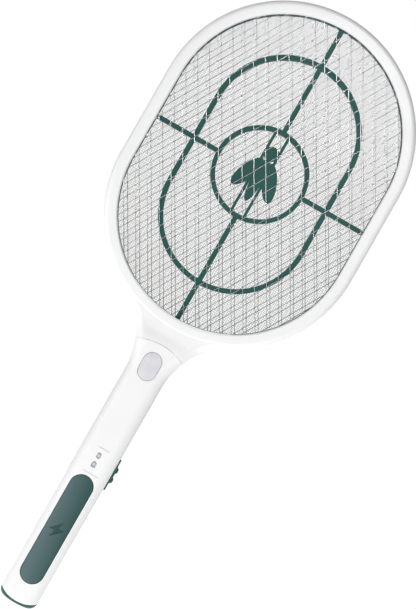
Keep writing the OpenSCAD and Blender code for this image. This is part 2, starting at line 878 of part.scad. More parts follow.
module transformer_winding() {
  color([0.75, 0.45, 0.2]) stand_up()
    translate([-core_w / 2 + core_wall + 0.2, core_y - core_w / 2 - 1, board_top + core_wall + 0.2])
      cube([core_w - 2 * core_wall - 0.4, core_w + 2, core_h - 2 * core_wall - 0.4]);
}

module multiplier_capacitors() {
  color([0.6, 0.2, 0.12]) stand_up() for (y = [69, 78]) translate([-7, board_low + y - 3, board_top])
    cube([14, 6, 9]);
}

module rectifier_diodes() {
  color([0.1, 0.1, 0.1]) stand_up() for (x = [-9.5, -6.5, -3.5]) {
    rod([x, board_low + 5, board_top + 1.5], [x, board_low + 11, board_top + 1.5], 2.6);
    rod([x, board_low + 3, board_top + 1.5], [x, board_low + 13, board_top + 1.5], 0.7);
  }
}

module bleed_resistor() {
  color([0.8, 0.7, 0.5]) stand_up() {
    rod([2, board_low + 9, board_top + 1.3], [2, board_low + 15, board_top + 1.3], 2.4);
    rod([2, board_low + 7, board_top + 1.3], [2, board_low + 17, board_top + 1.3], 0.6);
  }
}

module drive_transistor() {
  color([0.12, 0.12, 0.12]) stand_up() translate([-8, board_low + 41, board_top]) slab(0, 4.6) difference() {
    circle(2.3, $fn = 24);
    translate([1.3, -3]) square([3, 6]);
  }
}

module battery_cell() {
  color([0.2, 0.45, 0.7]) stand_up() along(cell_base, cell_high) circle(d = cell_d);
  color([0.2, 0.45, 0.7]) stand_up() along(cell_high - eps, cell_high + 1) circle(d = cell_d / 3, $fn = 24);
}

// Bent strip that presses the cell forward
module battery_spring_contact() {
  color(wire_grey) stand_up() across(8) polygon([
    [cell_base - 3.2, -8], [cell_base - 2.8, -8], [cell_base - 2.8, -4], [cell_base, -0.5], [cell_base, 0.5],
    [cell_base - 2.8, 4], [cell_base - 2.8, 8], [cell_base - 3.2, 8], [cell_base - 3.2, 3.8],
    [cell_base - 0.5, 0.2], [cell_base - 0.5, -0.2], [cell_base - 3.2, -3.8]
  ]);
}

module battery_plate_contact() {
  color(wire_grey) stand_up() along(cell_high + 1, cell_high + 1.5) square([12, 12], center = true);
}

// ---- screws ----

module head_screws() {
  color([0.6, 0.6, 0.62]) stand_up() at_rim_screws()
    translate([0, 0, -half_depth + head_sink]) screw(half_depth - head_sink + mesh_top, screw_head_t);
}

module neck_screws() {
  color([0.6, 0.6, 0.62]) stand_up() for (s = [-1, 1])
    translate([s * neck_screw_x, neck_screw_y, -front]) screw(neck_screw_l - 2, neck_head_t);
}

module handle_screws() {
  color([0.6, 0.6, 0.62]) stand_up() for (y = handle_screw_at)
    translate([0, y, -front + head_sink]) screw(front - head_sink + 6, screw_head_t);
}

// ---- wires ----

board_edge = board_high - 3;
// Lower edge of a grid at a distance x from the middle
function grid_edge_at(x) = head_mid - half_straight - sqrt(grid_r * grid_r - x * x);
grid_edge = head_mid - half_straight - grid_r;   // where a wire meets the edge of its grid

module high_voltage_lead() {
  color([0.75, 0.1, 0.1]) stand_up() lead([
    [3.5, board_edge, board_top + lead_d / 2], [4.5, board_edge + 5, -0.6],
    [4.5, handle_screw_at[2] + 4, -0.6], [4.5, flare_start - 2, -0.6],
    [0, flare_start + 3, -0.6], [0, seam_top - 5, -0.6], [0, seam_top + 5, 0], [0, grid_edge, 0]
  ]);
}

// Wire from the board to an outer grid, up one side of the neck
module grid_lead(s) {
  color([0.1, 0.1, 0.12]) stand_up() lead([
    [s * 8, board_edge, board_top + lead_d / 2], [s * 10.5, board_edge + 6, -0.8],
    [s * 12.2, flare_start, -0.8], [s * 12.2, seam_top - 5, -0.8],
    [s * grid_lead_x, rim_foot - 4, s * grid_lead_z],
    [s * grid_lead_x, grid_edge_at(grid_lead_x), s * grid_lead_z]
  ]);
}

module front_mesh_lead() {
  grid_lead(1);
}

module rear_mesh_lead() {
  grid_lead(-1);
}

module battery_positive_lead() {
  color([0.75, 0.1, 0.1]) stand_up() lead([
    [5, cell_high + 1.5 + lead_d / 2, 0], [7, cell_high + 5, 0], [7, board_low - 3, -2.4],
    [7, board_low + 3, board_top + lead_d / 2]
  ]);
}

module battery_negative_lead() {
  color([0.1, 0.1, 0.12]) stand_up() lead([
    [0, cell_base - 3.2 - lead_d / 2, -6], [-lead_x, cell_base - 4, lead_z], [-lead_x, cell_base, lead_z],
    [-lead_x, cell_high - 2, lead_z], [-lead_x, cell_high + 3, lead_z], [-9, board_low - 3, -2.4],
    [-9, board_low + 1.5, board_top + lead_d / 2]
  ]);
}

module charging_leads() {
  color([0.75, 0.1, 0.1]) stand_up() lead([
    [2, socket_top + lead_d / 2, 0], [8, 10.5, -2], [lead_x, cell_base - 5, lead_z],
    [lead_x, cell_base, lead_z], [lead_x, cell_high - 2, lead_z], [lead_x, cell_high + 3, lead_z],
    [9.5, board_low - 3, -2.4],
    [9.5, board_low + 3, board_top + lead_d / 2]
  ]);
}

head_frame_front();
head_frame_rear();
front_mesh();
front_spacer();
high_voltage_mesh();
rear_spacer();
rear_mesh();
handle_front_shell();
handle_rear_shell();
grip_pad();
torch_lens();
torch_reflector();
torch_leds();
torch_led_board();
power_window();
charge_window();
indicator_leds();
switch_bezel();
switch_knob();
slide_switch_lever();
slide_switch_body();
circuit_board();
transformer_core();
transformer_winding();
multiplier_capacitors();
rectifier_diodes();
bleed_resistor();
drive_transistor();
battery_cell();
battery_spring_contact();
battery_plate_contact();
end_cap();
charging_socket();
head_screws();
neck_screws();
handle_screws();
high_voltage_lead();
front_mesh_lead();
rear_mesh_lead();
battery_positive_lead();
battery_negative_lead();
charging_leads();
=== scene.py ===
import bmesh
import bpy
import json
import numpy as np
from mathutils import Matrix, Vector


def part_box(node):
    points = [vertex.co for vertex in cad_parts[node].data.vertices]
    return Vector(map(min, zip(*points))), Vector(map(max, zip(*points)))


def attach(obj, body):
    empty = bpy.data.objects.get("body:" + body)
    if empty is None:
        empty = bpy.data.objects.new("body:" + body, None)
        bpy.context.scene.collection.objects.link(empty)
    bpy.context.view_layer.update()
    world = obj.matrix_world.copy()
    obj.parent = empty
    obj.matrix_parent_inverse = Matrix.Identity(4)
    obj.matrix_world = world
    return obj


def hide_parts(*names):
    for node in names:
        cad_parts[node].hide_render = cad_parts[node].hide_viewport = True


# Electric fly swatter. All lengths are in metres, in the part's own frame: x to the right,
# the front face towards -y, z up the handle towards the head.
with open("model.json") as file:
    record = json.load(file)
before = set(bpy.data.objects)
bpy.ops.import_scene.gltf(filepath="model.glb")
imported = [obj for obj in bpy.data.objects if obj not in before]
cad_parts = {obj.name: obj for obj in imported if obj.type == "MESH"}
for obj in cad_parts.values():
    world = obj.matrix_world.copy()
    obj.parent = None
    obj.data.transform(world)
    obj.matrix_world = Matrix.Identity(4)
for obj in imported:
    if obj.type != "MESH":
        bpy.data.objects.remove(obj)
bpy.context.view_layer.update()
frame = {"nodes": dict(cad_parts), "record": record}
nodes = frame["nodes"]
racket = "racket"
slider = "switch_slider"
mm = 0.001


# places read from the frame
def span(node):
    low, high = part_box(node)
    return np.array(low), np.array(high)


headHigh = span("head_frame_front")[1]
shellLow = span("handle_front_shell")[0]
capLow, capHigh = span("end_cap")
meshLow, meshHigh = span("front_mesh")
spacerLow, spacerHigh = span("front_spacer")
padLow, padHigh = span("grip_pad")
lensLow, lensHigh = span("torch_lens")
powerLow, powerHigh = span("power_window")
chargeLow, chargeHigh = span("charge_window")
bezelLow, bezelHigh = span("switch_bezel")
knobLow, knobHigh = span("switch_knob")

butt = capLow[2]                                   # lowest point of the handle
top = headHigh[2]
headWide = headHigh[0]                             # half width of the head
headMid = (spacerLow[2] + spacerHigh[2]) / 2
halfStraight = top - headMid - headWide            # half of the oval's straight sides
handleWide = capHigh[0]                            # half width of the handle
handleDeep = -shellLow[1]                          # half depth of the handle


# mesh building
def addMesh(name, points, faces, smooth=35):
    # points n x 3, faces a list or array of index rows; edges sharper than smooth degrees stay crisp
    data = bpy.data.meshes.new(name)
    data.from_pydata(np.asarray(points, float).tolist(), [], [list(map(int, f)) for f in faces])
    data.validate()
    data.update()
    piece = bpy.data.objects.new(name, data)
    bpy.context.scene.collection.objects.link(piece)
    crisp(piece, smooth)
    return piece


def crisp(piece, angle):
    data = piece.data
    data.polygons.foreach_set("use_smooth", np.ones(len(data.polygons), bool))
    data.set_sharp_from_angle(angle=np.radians(angle))
    data.update()


def gridFaces(rows, cols, closeRows=False, closeCols=False, flip=False):
    # quads of a rows x cols grid of points, joined round where asked
    r = np.arange(rows if closeRows else rows - 1)
    c = np.arange(cols if closeCols else cols - 1)
    r, c = (a.ravel() for a in np.meshgrid(r, c, indexing="ij"))
    r1 = (r + 1) % rows
    c1 = (c + 1) % cols
    quads = np.stack([r * cols + c, r * cols + c1, r1 * cols + c1, r1 * cols + c], 1)
    return quads[:, ::-1] if flip else quads


def outward(piece):
    # joins doubled corners and turns every face of a closed piece outwards
    work = bmesh.new()
    work.from_mesh(piece.data)
    bmesh.ops.remove_doubles(work, verts=work.verts, dist=1e-6)
    bmesh.ops.recalc_face_normals(work, faces=work.faces)
    work.to_mesh(piece.data)
    work.free()
    return piece


def cut(piece, cutters, angle=30):
    # takes each cutter away from the piece and removes the cutter
    for cutter in cutters:
        change = piece.modifiers.new("cut", "BOOLEAN")
        change.operation = "DIFFERENCE"
        change.solver = "EXACT"
        change.object = cutter
    graph = bpy.context.evaluated_depsgraph_get()
    data = bpy.data.meshes.new_from_object(piece.evaluated_get(graph))
    piece.modifiers.clear()
    piece.data = data
    for cutter in cutters:
        bpy.data.objects.remove(cutter)
    crisp(piece, angle)
    return piece


def obroundRing(wide, high, count=64):
    # closed outline of two half circles of radius wide joined by straight sides, in x and z
    t = np.linspace(0, 2 * np.pi, count, endpoint=False)
    z = wide * np.sin(t) + np.where(np.sin(t) >= 0, 1, -1) * (high - wide)
    return wide * np.cos(t), z


def roundRing(wide, high, r, count=12):
    # closed outline of a rectangle with round corners, half sizes wide and high
    t = np.linspace(0, np.pi / 2, count)
    xs, zs = [], []
    for k, (sx, sz) in enumerate(((1, 1), (-1, 1), (-1, -1), (1, -1))):
        a = t + k * np.pi / 2
        xs.append(sx * (wide - r) + r * np.cos(a))
        zs.append(sz * (high - r) + r * np.sin(a))
    return np.concatenate(xs), np.concatenate(zs)


def closedStrip(name, face, back):
    # solid between a face and its back, both rows of points: each row runs out over the face and back
    # underneath, and a strip of quads closes the first row and the last
    loop = np.concatenate([face, back[:, ::-1]], 1)
    rows, cols = loop.shape[:2]
    faces = gridFaces(rows, cols, closeCols=True).tolist()
    c = np.arange(cols // 2 - 1)
    for row, order in ((0, 1), (rows - 1, -1)):
        ends = row * cols + np.stack([c, c + 1, cols - 2 - c, cols - 1 - c], 1)
        faces += ends[:, ::order].tolist()
    return outward(addMesh(name, loop.reshape(-1, 3), faces))


def rectangle(x0, x1, z0, z1):
    return np.array([x0, x1, x1, x0]), np.array([z0, z0, z1, z1])


def prism(name, x, z, y0, y1):
    # straight solid over an x-z outline, from y0 to y1: a wall of quads and a flat face at either end
    n = len(x)
    ends = [np.stack([x, np.full(n, y), z], 1) for y in (y0, y1)]
    walls = gridFaces(2, n, closeCols=True).tolist()
    caps = [list(range(n))[::-1], list(range(n, 2 * n))]
    return outward(addMesh(name, np.concatenate(ends), walls + caps))


def smoothStep(t):
    t = np.clip(t, 0, 1)
    return t * t * (3 - 2 * t)


# materials
def setInputs(node, values):
    for name, value in values.items():
        node.inputs[name].default_value = value


def addNode(owner, kind, values={}):
    # a new node in a material or a world, with its inputs set
    node = owner.node_tree.nodes.new(kind)
    setInputs(node, values)
    return node


def newMaterial(name, colour, roughness, specular=0.5, metallic=0.0):
    made = bpy.data.materials.new(name)
    made.use_nodes = True
    shader = made.node_tree.nodes["Principled BSDF"]
    setInputs(shader, {"Base Color": (*colour, 1), "Roughness": roughness, "Specular IOR Level": specular,
                       "Metallic": metallic})
    return made, shader


def objectPoint(made):
    found = made.node_tree.nodes.get("place")
    if found is None:
        found = addNode(made, "ShaderNodeTexCoord")
        found.name = "place"
    return found.outputs["Object"]


def noise(made, scale, detail=3.0):
    node = addNode(made, "ShaderNodeTexNoise", {"Scale": scale, "Detail": detail})
    made.node_tree.links.new(objectPoint(made), node.inputs["Vector"])
    return node.outputs["Fac"]


def remap(made, value, low, high, fromLow=0.3, fromHigh=0.7):
    node = addNode(made, "ShaderNodeMapRange",
                   {"From Min": fromLow, "From Max": fromHigh, "To Min": low, "To Max": high})
    made.node_tree.links.new(value, node.inputs["Value"])
    return node.outputs["Result"]


def mixColours(made, factor, first, second):
    node = made.node_tree.nodes.new("ShaderNodeMix")
    node.data_type = "RGBA"
    node.inputs["A"].default_value = (*first, 1)
    node.inputs["B"].default_value = (*second, 1)
    made.node_tree.links.new(factor, node.inputs["Factor"])
    return node.outputs["Result"]


def bump(made, shader, height, strength, distance):
    node = addNode(made, "ShaderNodeBump", {"Strength": strength, "Distance": distance})
    made.node_tree.links.new(height, node.inputs["Height"])
    made.node_tree.links.new(node.outputs["Normal"], shader.inputs["Normal"])


# kind: scale of the tone's noise, scale of the polish's noise, least and most change of roughness,
# strength of the grain
finishKinds = {
    "moulded": (25, 60, -0.05, 0.06, 0.25),
    "drawn": (90, 300, -0.06, 0.08, 0.2),
    "plain": (140, 400, -0.06, 0.1, 0.2),
}


def finish(name, kind, colour, shade, roughness, specular=0.5, metallic=0.0, grain=1800, depth=0.03 * mm):
    # a slight change of tone between two colours, uneven polish and a fine grain
    toneSize, polishSize, least, most, strength = finishKinds[kind]
    made, shader = newMaterial(name, colour, roughness, specular, metallic)
    link = made.node_tree.links.new
    tone = remap(made, noise(made, toneSize), 0, 1)
    link(mixColours(made, tone, colour, shade), shader.inputs["Base Color"])
    polish = remap(made, noise(made, polishSize), roughness + least, roughness + most)
    link(polish, shader.inputs["Roughness"])
    bump(made, shader, noise(made, grain, 2), strength, depth)
    return made


whitePlastic = finish("whitePlastic", "moulded", (0.87, 0.87, 0.875), (0.845, 0.845, 0.85), 0.36, 0.4,
                      grain=2600, depth=0.02 * mm)
greenPlastic = finish("greenPlastic", "moulded", (0.011, 0.083, 0.07), (0.008, 0.07, 0.059), 0.45, 0.25,
                      grain=2200)
# painted shadow: near black green for the sheet in the gap round the pad
padGapShadow = finish("padGapShadow", "moulded", (0.006, 0.03, 0.027), (0.004, 0.024, 0.022), 0.6, 0.2,
                  grain=2200, depth=0.02 * mm)
printGrey = finish("printGrey", "moulded", (0.7, 0.69, 0.69), (0.66, 0.65, 0.65), 0.5, 0.3,
                   grain=2000, depth=0.01 * mm)
wire = {"metallic": 1.0, "grain": 2500}
steelWire = finish("steelWire", "drawn", (0.82, 0.83, 0.84), (0.66, 0.67, 0.68), 0.14, **wire)
weldMetal = finish("weldMetal", "drawn", (0.09, 0.09, 0.1), (0.05, 0.05, 0.055), 0.35, **wire)
liveWire = finish("liveWire", "drawn", (0.4, 0.4, 0.41), (0.3, 0.3, 0.31), 0.5, **wire)


def frostedPlastic():
    # milky lens with fine upright ribs
    made, shader = newMaterial("frostedPlastic", (0.6, 0.595, 0.62), 0.42, 0.4)
    tree = made.node_tree
    ribs = addNode(made, "ShaderNodeTexWave", {"Scale": 260, "Distortion": 0})
    tree.links.new(objectPoint(made), ribs.inputs["Vector"])
    tone = mixColours(made, remap(made, noise(made, 150), 0, 1), (0.7, 0.695, 0.72), (0.64, 0.635, 0.665))
    tree.links.new(tone, shader.inputs["Base Color"])
    bump(made, shader, ribs.outputs["Fac"], 0.35, 0.0001)
    setInputs(shader, {"Subsurface Weight": 0.2, "Subsurface Radius": (0.002, 0.002, 0.002)})
    return made


lensPlastic = frostedPlastic()


def windowFinish():
    # tinted window with painted light: lighter round the middle over the lamp behind it, darker towards its
    # edge
    made, shader = newMaterial("windowPaintedLight", (0.4, 0.39, 0.43), 0.3)
    link = made.node_tree.links.new
    paintedLightDistance = addNode(made, "ShaderNodeMath")
    paintedLightDistance.operation = "MINIMUM"
    for socket, (low, high) in zip(paintedLightDistance.inputs, ((powerLow, powerHigh), (chargeLow, chargeHigh))):
        away = addNode(made, "ShaderNodeVectorMath")
        away.operation = "DISTANCE"
        away.inputs[1].default_value = (0, low[1], (low[2] + high[2]) / 2)
        link(objectPoint(made), away.inputs[0])
        link(away.outputs["Value"], socket)
    # painted light: light at each window's middle, turning dark towards its edge
    tone = remap(made, paintedLightDistance.outputs["Value"], 0, 1, 0.6 * mm, 1.9 * mm)
    link(mixColours(made, tone, (0.62, 0.6, 0.66), (0.3, 0.28, 0.33)), shader.inputs["Base Color"])
    link(remap(made, noise(made, 200), 0.25, 0.38), shader.inputs["Roughness"])
    bump(made, shader, noise(made, 2000, 2), 0.2, 0.00003)
    return made


windowPaintedLight = windowFinish()

# slot name: colour, second colour, roughness, metallic
plainFinishes = {
    "reflector": ((0.85, 0.85, 0.87), (0.7, 0.7, 0.72), 0.15, 1.0),
    "led_resin": ((0.85, 0.84, 0.72), (0.75, 0.74, 0.6), 0.2, 0.0),
    "board_green": ((0.02, 0.16, 0.06), (0.01, 0.1, 0.04), 0.4, 0.0),
    "switch_metal": ((0.6, 0.6, 0.62), (0.45, 0.45, 0.47), 0.35, 1.0),
    "black_plastic": ((0.02, 0.02, 0.02), (0.035, 0.035, 0.035), 0.45, 0.0),
    "ferrite": ((0.05, 0.05, 0.055), (0.09, 0.09, 0.09), 0.6, 0.0),
    "winding_tape": ((0.7, 0.42, 0.08), (0.55, 0.3, 0.05), 0.35, 0.0),
    "capacitor_red": ((0.42, 0.05, 0.03), (0.3, 0.03, 0.02), 0.25, 0.0),
    "resistor_body": ((0.6, 0.45, 0.25), (0.45, 0.32, 0.18), 0.3, 0.0),
    "cell_sleeve": ((0.04, 0.18, 0.5), (0.03, 0.12, 0.38), 0.25, 0.0),
    "contact_metal": ((0.68, 0.66, 0.6), (0.5, 0.49, 0.45), 0.3, 1.0),
    "screw_steel": ((0.55, 0.55, 0.57), (0.38, 0.38, 0.4), 0.35, 1.0),
    "red_insulation": ((0.5, 0.02, 0.02), (0.38, 0.01, 0.01), 0.4, 0.0),
    "black_insulation": ((0.02, 0.02, 0.02), (0.04, 0.04, 0.04), 0.4, 0.0),
}


def padFinish():
    # satin rubber, darker and duller inside the sunk bolt as painted shade, with a painted sheen across it
    made, shader = newMaterial("padRubber", (0.04, 0.1, 0.1), 0.42, 0.4)
    link = made.node_tree.links.new
    bolt = addNode(made, "ShaderNodeAttribute")
    bolt.attribute_name = "bolt"
    # painted sheen: lighter and greyer along the left edge and towards the end, darker towards the right
    along = addNode(made, "ShaderNodeVectorMath")
    along.operation = "DOT_PRODUCT"
    along.inputs[1].default_value = (1, 0, 0.08)
    link(objectPoint(made), along.inputs[0])
    paintedSheen = remap(made, along.outputs["Value"], 0, 1, padLow[0] * 0.9, padHigh[0] * 0.9)
    rubber = mixColours(made, paintedSheen, (0.085, 0.14, 0.148), (0.018, 0.074, 0.07))
    # painted shade: darker green inside the sunk bolt
    tone = addNode(made, "ShaderNodeMix")
    tone.data_type = "RGBA"
    tone.inputs["B"].default_value = (0.012, 0.06, 0.052, 1)
    link(bolt.outputs["Fac"], tone.inputs["Factor"])
    link(rubber, tone.inputs["A"])
    link(tone.outputs["Result"], shader.inputs["Base Color"])
    link(remap(made, noise(made, 120), 0.36, 0.48), shader.inputs["Roughness"])
    bump(made, shader, noise(made, 3200, 2), 0.25, 0.00004)
    return made


padRubber = padFinish()
finishes = {name: finish(name, "plain", colour, shade, roughness, metallic=metallic)
            for name, (colour, shade, roughness, metallic) in plainFinishes.items()}
finishes.update(white_shell=whitePlastic, green_plastic=greenPlastic, grip_green=padRubber,
                grid_wire=steelWire, frosted_lens=lensPlastic)
print("materials ready")


def dress(piece, material, slot, *replaced, body=racket):
    # gives a new piece its finish and the body that it rides on, and hides the nodes that it stands for
    piece.data.materials.clear()
    piece.data.materials.append(material)
    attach(piece, body)
    if replaced:
        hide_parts(*replaced)
    return piece


# head frame
head = {
    "rimWidth": 10.4 * mm,
    "rimDepth": 11 * mm,         # of each half
    "outerRound": 4 * mm,
    "innerRound": 2 * mm,
    "crown": 0.15 * mm,          # how much the rim's face bulges
    "webStep": 0.6 * mm,         # drop from the rim's face to the neck web
    "webFrom": 0.01 * mm,        # the web begins where the outline is this much wider than the rim
    "spacingChange": 5 * mm,     # extra width over which the stations' points turn to the neck's spacing
    "rampPast": 4 * mm,          # the web rises to the handle's depth this far past the seam
    "roundFrom": 12 * mm,        # its edge rounding grows from this far above the rim's foot
    "roundOver": 26 * mm,        # and is full after this much more
    "softBlend": 0.5 * mm,       # width of the soft fold between rim and web
    "grooveDepth": 5.3 * mm,
    "lipThickness": 5.4 * mm,
    "neckLength": 42 * mm,
    "seamDrop": 13 * mm,
    "seamRadius": 50 * mm,
    "edgeRound": 9 * mm,         # rounding of the handle's long edges
    "seamGap": 0.25 * mm,        # half width of the fine grooves between pieces
    "screws": 8,
    "screwRadius": 2.3 * mm,
    "screwDepth": 3.3 * mm,
}
openRadius = headWide - head["rimWidth"]
rimFoot = headMid - halfStraight - headWide
flareStart = rimFoot - head["neckLength"]
seamTop = rimFoot - head["seamDrop"]
seamCentre = seamTop - head["seamRadius"]
lowerCentre = headMid - halfStraight
rise = lowerCentre - flareStart
# the flare is an arc that touches the handle's side and the rim's outer circle
flareRadius = (handleWide ** 2 + rise ** 2 - headWide ** 2) / (2 * (headWide - handleWide))
flareX = handleWide + flareRadius
flareAngle = np.pi / 2 - np.arctan2(rise, flareX)


def outlineDistance(angle):
    # From the lower centre of the oval, at an angle from straight down, to the outline. Within the flare's
    # angle it is where the line first meets the flare's circle or the seam's, and elsewhere the rim's radius.
    nx, nz = np.sin(angle), -np.cos(angle)
    ax, az = -np.sign(nx + 1e-12) * flareX, np.full_like(nx, rise)
    b = nx * ax + nz * az
    c = ax ** 2 + az ** 2 - flareRadius ** 2
    flare = -b - np.sqrt(np.maximum(b * b - c, 0))
    bs = nz * (lowerCentre - seamCentre)
    cs = (lowerCentre - seamCentre) ** 2 - head["seamRadius"] ** 2
    seam = -bs - np.sqrt(np.maximum(bs * bs - cs, 0))
    inside = np.abs(angle) < flareAngle
    return np.where(inside, np.minimum(np.where(flare > 0, flare, 1), seam), headWide)


def ovalStations():
    # spine height, direction and outline distance for every station round the oval
    neckCount, sideCount, straightCount, overCount = 241, 39, 12, 121
    neck = np.linspace(-flareAngle, flareAngle, neckCount)
    side = np.linspace(flareAngle, np.pi / 2, sideCount + 1)[1:]
    over = np.linspace(np.pi / 2, 3 * np.pi / 2, overCount)
    straight = np.linspace(0, 1, straightCount + 2)[1:-1]
    angles = [neck, side, np.full(straightCount, np.pi / 2), over, np.full(straightCount, 3 * np.pi / 2),
              2 * np.pi - side[::-1][:-1]]
    spine = [np.full(neckCount + sideCount, -1.0), -1 + 2 * straight, np.ones(overCount), 1 - 2 * straight,
             np.full(sideCount - 1, -1.0)]
    angle = np.concatenate(angles)
    spine = np.concatenate(spine)
    height = headMid + halfStraight * spine
    reach = np.full(len(angle), headWide)
    low = spine < -0.999
    wrapped = (angle + np.pi) % (2 * np.pi) - np.pi
    reach[low] = outlineDistance(wrapped[low])
    return height, np.sin(angle), -np.cos(angle), reach


def headHalf(name, side):
    # A ring of stations round the opening, each with a profile from the opening's edge to the outline.
    # The face height is the larger of the rim's rounded section and the neck web, with a soft fold between.
    height, nx, nz, reach = ovalStations()
    rim, deep = head["rimWidth"], head["rimDepth"]
    inR, outR = head["innerRound"], head["outerRound"]
    quarter = np.sin(np.linspace(0, np.pi / 2, 9))
    ringShare = np.concatenate([inR * (1 - quarter[::-1]), np.linspace(inR, rim - outR, 8)[1:],
                                rim - outR + outR * np.sin(np.linspace(0, np.pi / 2, 25))[1:]])
    neckShare = np.concatenate([inR * (1 - quarter[::-1]), np.linspace(inR, rim - outR, 6)[1:],
                                rim - outR + np.linspace(0, outR, 9)[1:]])
    extra = len(ringShare) - len(neckShare)
    beyond = 1 - (1 - np.linspace(0, 1, extra + 1)[1:]) ** 1.6
    width = (reach - openRadius)[:, None]
    ringT = ringShare[None, :] * width / rim
    neckT = np.concatenate([np.repeat(neckShare[None, :], len(width), 0),
                            rim + beyond[None, :] * (width - rim)], 1)
    share = smoothStep((width - rim) / head["spacingChange"])
    t = ringT * (1 - share) + neckT * share
    x = nx[:, None] * (openRadius + t)
    z = height[:, None] + nz[:, None] * (openRadius + t)

    ring = np.full_like(t, deep)
    ring -= head["crown"] * ((t - rim / 2) / (rim / 2)) ** 2
    ring = np.where(t < inR, deep - inR + np.sqrt(np.maximum(inR ** 2 - (inR - t) ** 2, 0)), ring)
    past = np.clip(t - (rim - outR), 0, outR)
    ring = np.where(t > rim - outR, deep - outR + np.sqrt(np.maximum(outR ** 2 - past ** 2, 0)), ring)
    ring = np.where(t > rim, deep - outR - 3 * (t - rim), ring)
    blend = smoothStep((rimFoot - z) / (rimFoot - seamTop + head["rampPast"]))
    base = deep - head["webStep"] + (handleDeep - deep + head["webStep"]) * blend
    away = np.hypot(np.abs(x) - flareX, z - flareStart) - flareRadius
    grown = smoothStep((rimFoot + head["roundFrom"] - z) / head["roundOver"])
    edge = outR + (head["edgeRound"] - outR) * grown
    web = base - edge + np.sqrt(np.maximum(edge ** 2 - (edge - np.clip(away, 0, edge)) ** 2, 0))
    webHere = width > rim + head["webFrom"]
    web = np.where(webHere, web, -1)
    soft = head["softBlend"]
    apart = ring - web
    face = 0.5 * (ring + web + np.sqrt(apart ** 2 + soft ** 2)) - 0.5 * soft * np.exp(-(apart / soft) ** 2)
    face = np.where(webHere, face, ring)
    seamAway = np.hypot(x, z - seamCentre) - head["seamRadius"]
    gap = head["seamGap"]
    face -= np.where(z < rimFoot, np.clip(gap - seamAway, 0, gap), 0)

    # wall at the outline, then the hidden underside with the groove for the grids
    edgeHeight = face[:, -1:]
    wallT = np.concatenate([np.repeat(width, 4, 1), width - 0.8 * gap], 1)
    wallH = np.concatenate([edgeHeight + (1.5 * gap - edgeHeight) * np.array([[0.25, 0.5, 0.75, 1]]),
                            np.zeros_like(edgeHeight)], 1)
    lip = deep - head["lipThickness"]
    groove = head["grooveDepth"]
    under = np.array([[groove, groove, 0, 0, 0]])
    underH = np.array([[0, lip, lip, lip + (deep - inR - lip) * 0.5, deep - inR]])
    under = np.repeat(under, len(width), 0)
    underH = np.repeat(underH, len(width), 0)
    allT = np.concatenate([t[:, 1:], wallT, under], 1)
    allH = np.concatenate([face[:, 1:], wallH, underH], 1)
    px = nx[:, None] * (openRadius + allT)
    pz = height[:, None] + nz[:, None] * (openRadius + allT)
    points = np.stack([px, side * allH, pz], 2)
    rows, cols = px.shape
    piece = addMesh(name, points.reshape(-1, 3), gridFaces(rows, cols, True, True))
    return outward(piece)


def screwPlaces():
    # points on the rim where the head screws sit
    low, high = span("head_screws")
    turn = 2 * np.pi * (np.arange(head["screws"]) + 0.5) / head["screws"]
    ring = (high[0] - head["screwRadius"] + 0.2 * mm) / np.cos(turn[0])
    return ring * np.cos(turn), headMid + np.sign(np.sin(turn)) * halfStraight + ring * np.sin(turn)


headFront = headHalf("headFrameFront", -1)
crisp(headFront, 32)
dress(headFront, whitePlastic, "white_shell", "head_frame_front")
headRear = headHalf("headFrameRear", 1)
cutters = []
for number, (sx, sz) in enumerate(zip(*screwPlaces())):
    cx, cz = obroundRing(head["screwRadius"], head["screwRadius"], 32)
    deep = head["rimDepth"]
    cutters.append(prism(f"cutter{number}", cx + sx, cz + sz, deep - head["screwDepth"], deep + 3 * mm))
cut(headRear, cutters, 32)
dress(headRear, whitePlastic, "white_shell", "head_frame_rear")
print("head frame ready")

# handle
handle = {
    "wall": 2 * mm,
    "corner": 9 * mm,
    "solveSteps": 8,             # tries at a row's height limits
    "firstTry": 5 * mm,          # above the handle's end
    "evenFrom": 13 * mm,         # the rows are evenly spaced from here above the handle's end
    "evenTo": 6 * mm,            # to here below the flare
    "edgeRow": 0.25 * mm,        # a row this close to either edge keeps it crisp
    "capWall": 1.6 * mm,
    "capFloor": 1.5 * mm,
    "capEnd": 1.2,               # how fast the cap's rows turn in towards its end
    "endRound": 8 * mm,          # seen from the front
    "endRoundSide": 6 * mm,      # seen from the side
    "capMiddle": 2.5 * mm,
    "capSide": 7.3 * mm,
    "seam": 0.25 * mm,
    "holeGap": 0.15 * mm,
    "padGap": 0.3 * mm,
    "lensFlange": 1.1 * mm,      # hidden edge of the lens
    "batteryStep": 0.95 * mm,    # height of the battery sign's narrow top
    "screwHead": 2.1 * mm,
    "screwAboveCell": 5 * mm,
    "screwRadius": 2.3 * mm,
    "screwDepth": 3.3 * mm,
}
capDrop = handle["capSide"] - handle["capMiddle"]
capRadius = (handleWide ** 2 + capDrop ** 2) / (2 * capDrop)
cutPast = 3 * mm                                   # how far a cutter stands out of the surface


def capEdge(x):
    # height of the end cap's edge: an arc that is lowest at the middle of the handle
    side = np.minimum(np.abs(x), handleWide)
    return butt + handle["capMiddle"] + capRadius - np.sqrt(capRadius ** 2 - side ** 2)


def sectionAt(z, inset):
    # Half width, half depth and corner radius of the handle at a height: full size, less a quarter circle
    # towards the end of the handle, and wider along the flare's arc towards the head
    up = z - butt
    r, rs = handle["endRound"], handle["endRoundSide"]
    wide = handleWide - r + np.sqrt(np.maximum(r * r - np.clip(r - up, 0, r) ** 2, 0))
    deep = handleDeep - rs + np.sqrt(np.maximum(rs * rs - np.clip(rs - up, 0, rs) ** 2, 0))
    past = np.clip(z - flareStart, 0, flareRadius * 0.9)
    wide = wide + flareRadius - np.sqrt(flareRadius ** 2 - past ** 2)
    corner = np.minimum(handle["corner"], 0.97 * np.minimum(wide, deep))
    return wide - inset, deep - inset, np.maximum(corner - inset, 0.5 * mm)


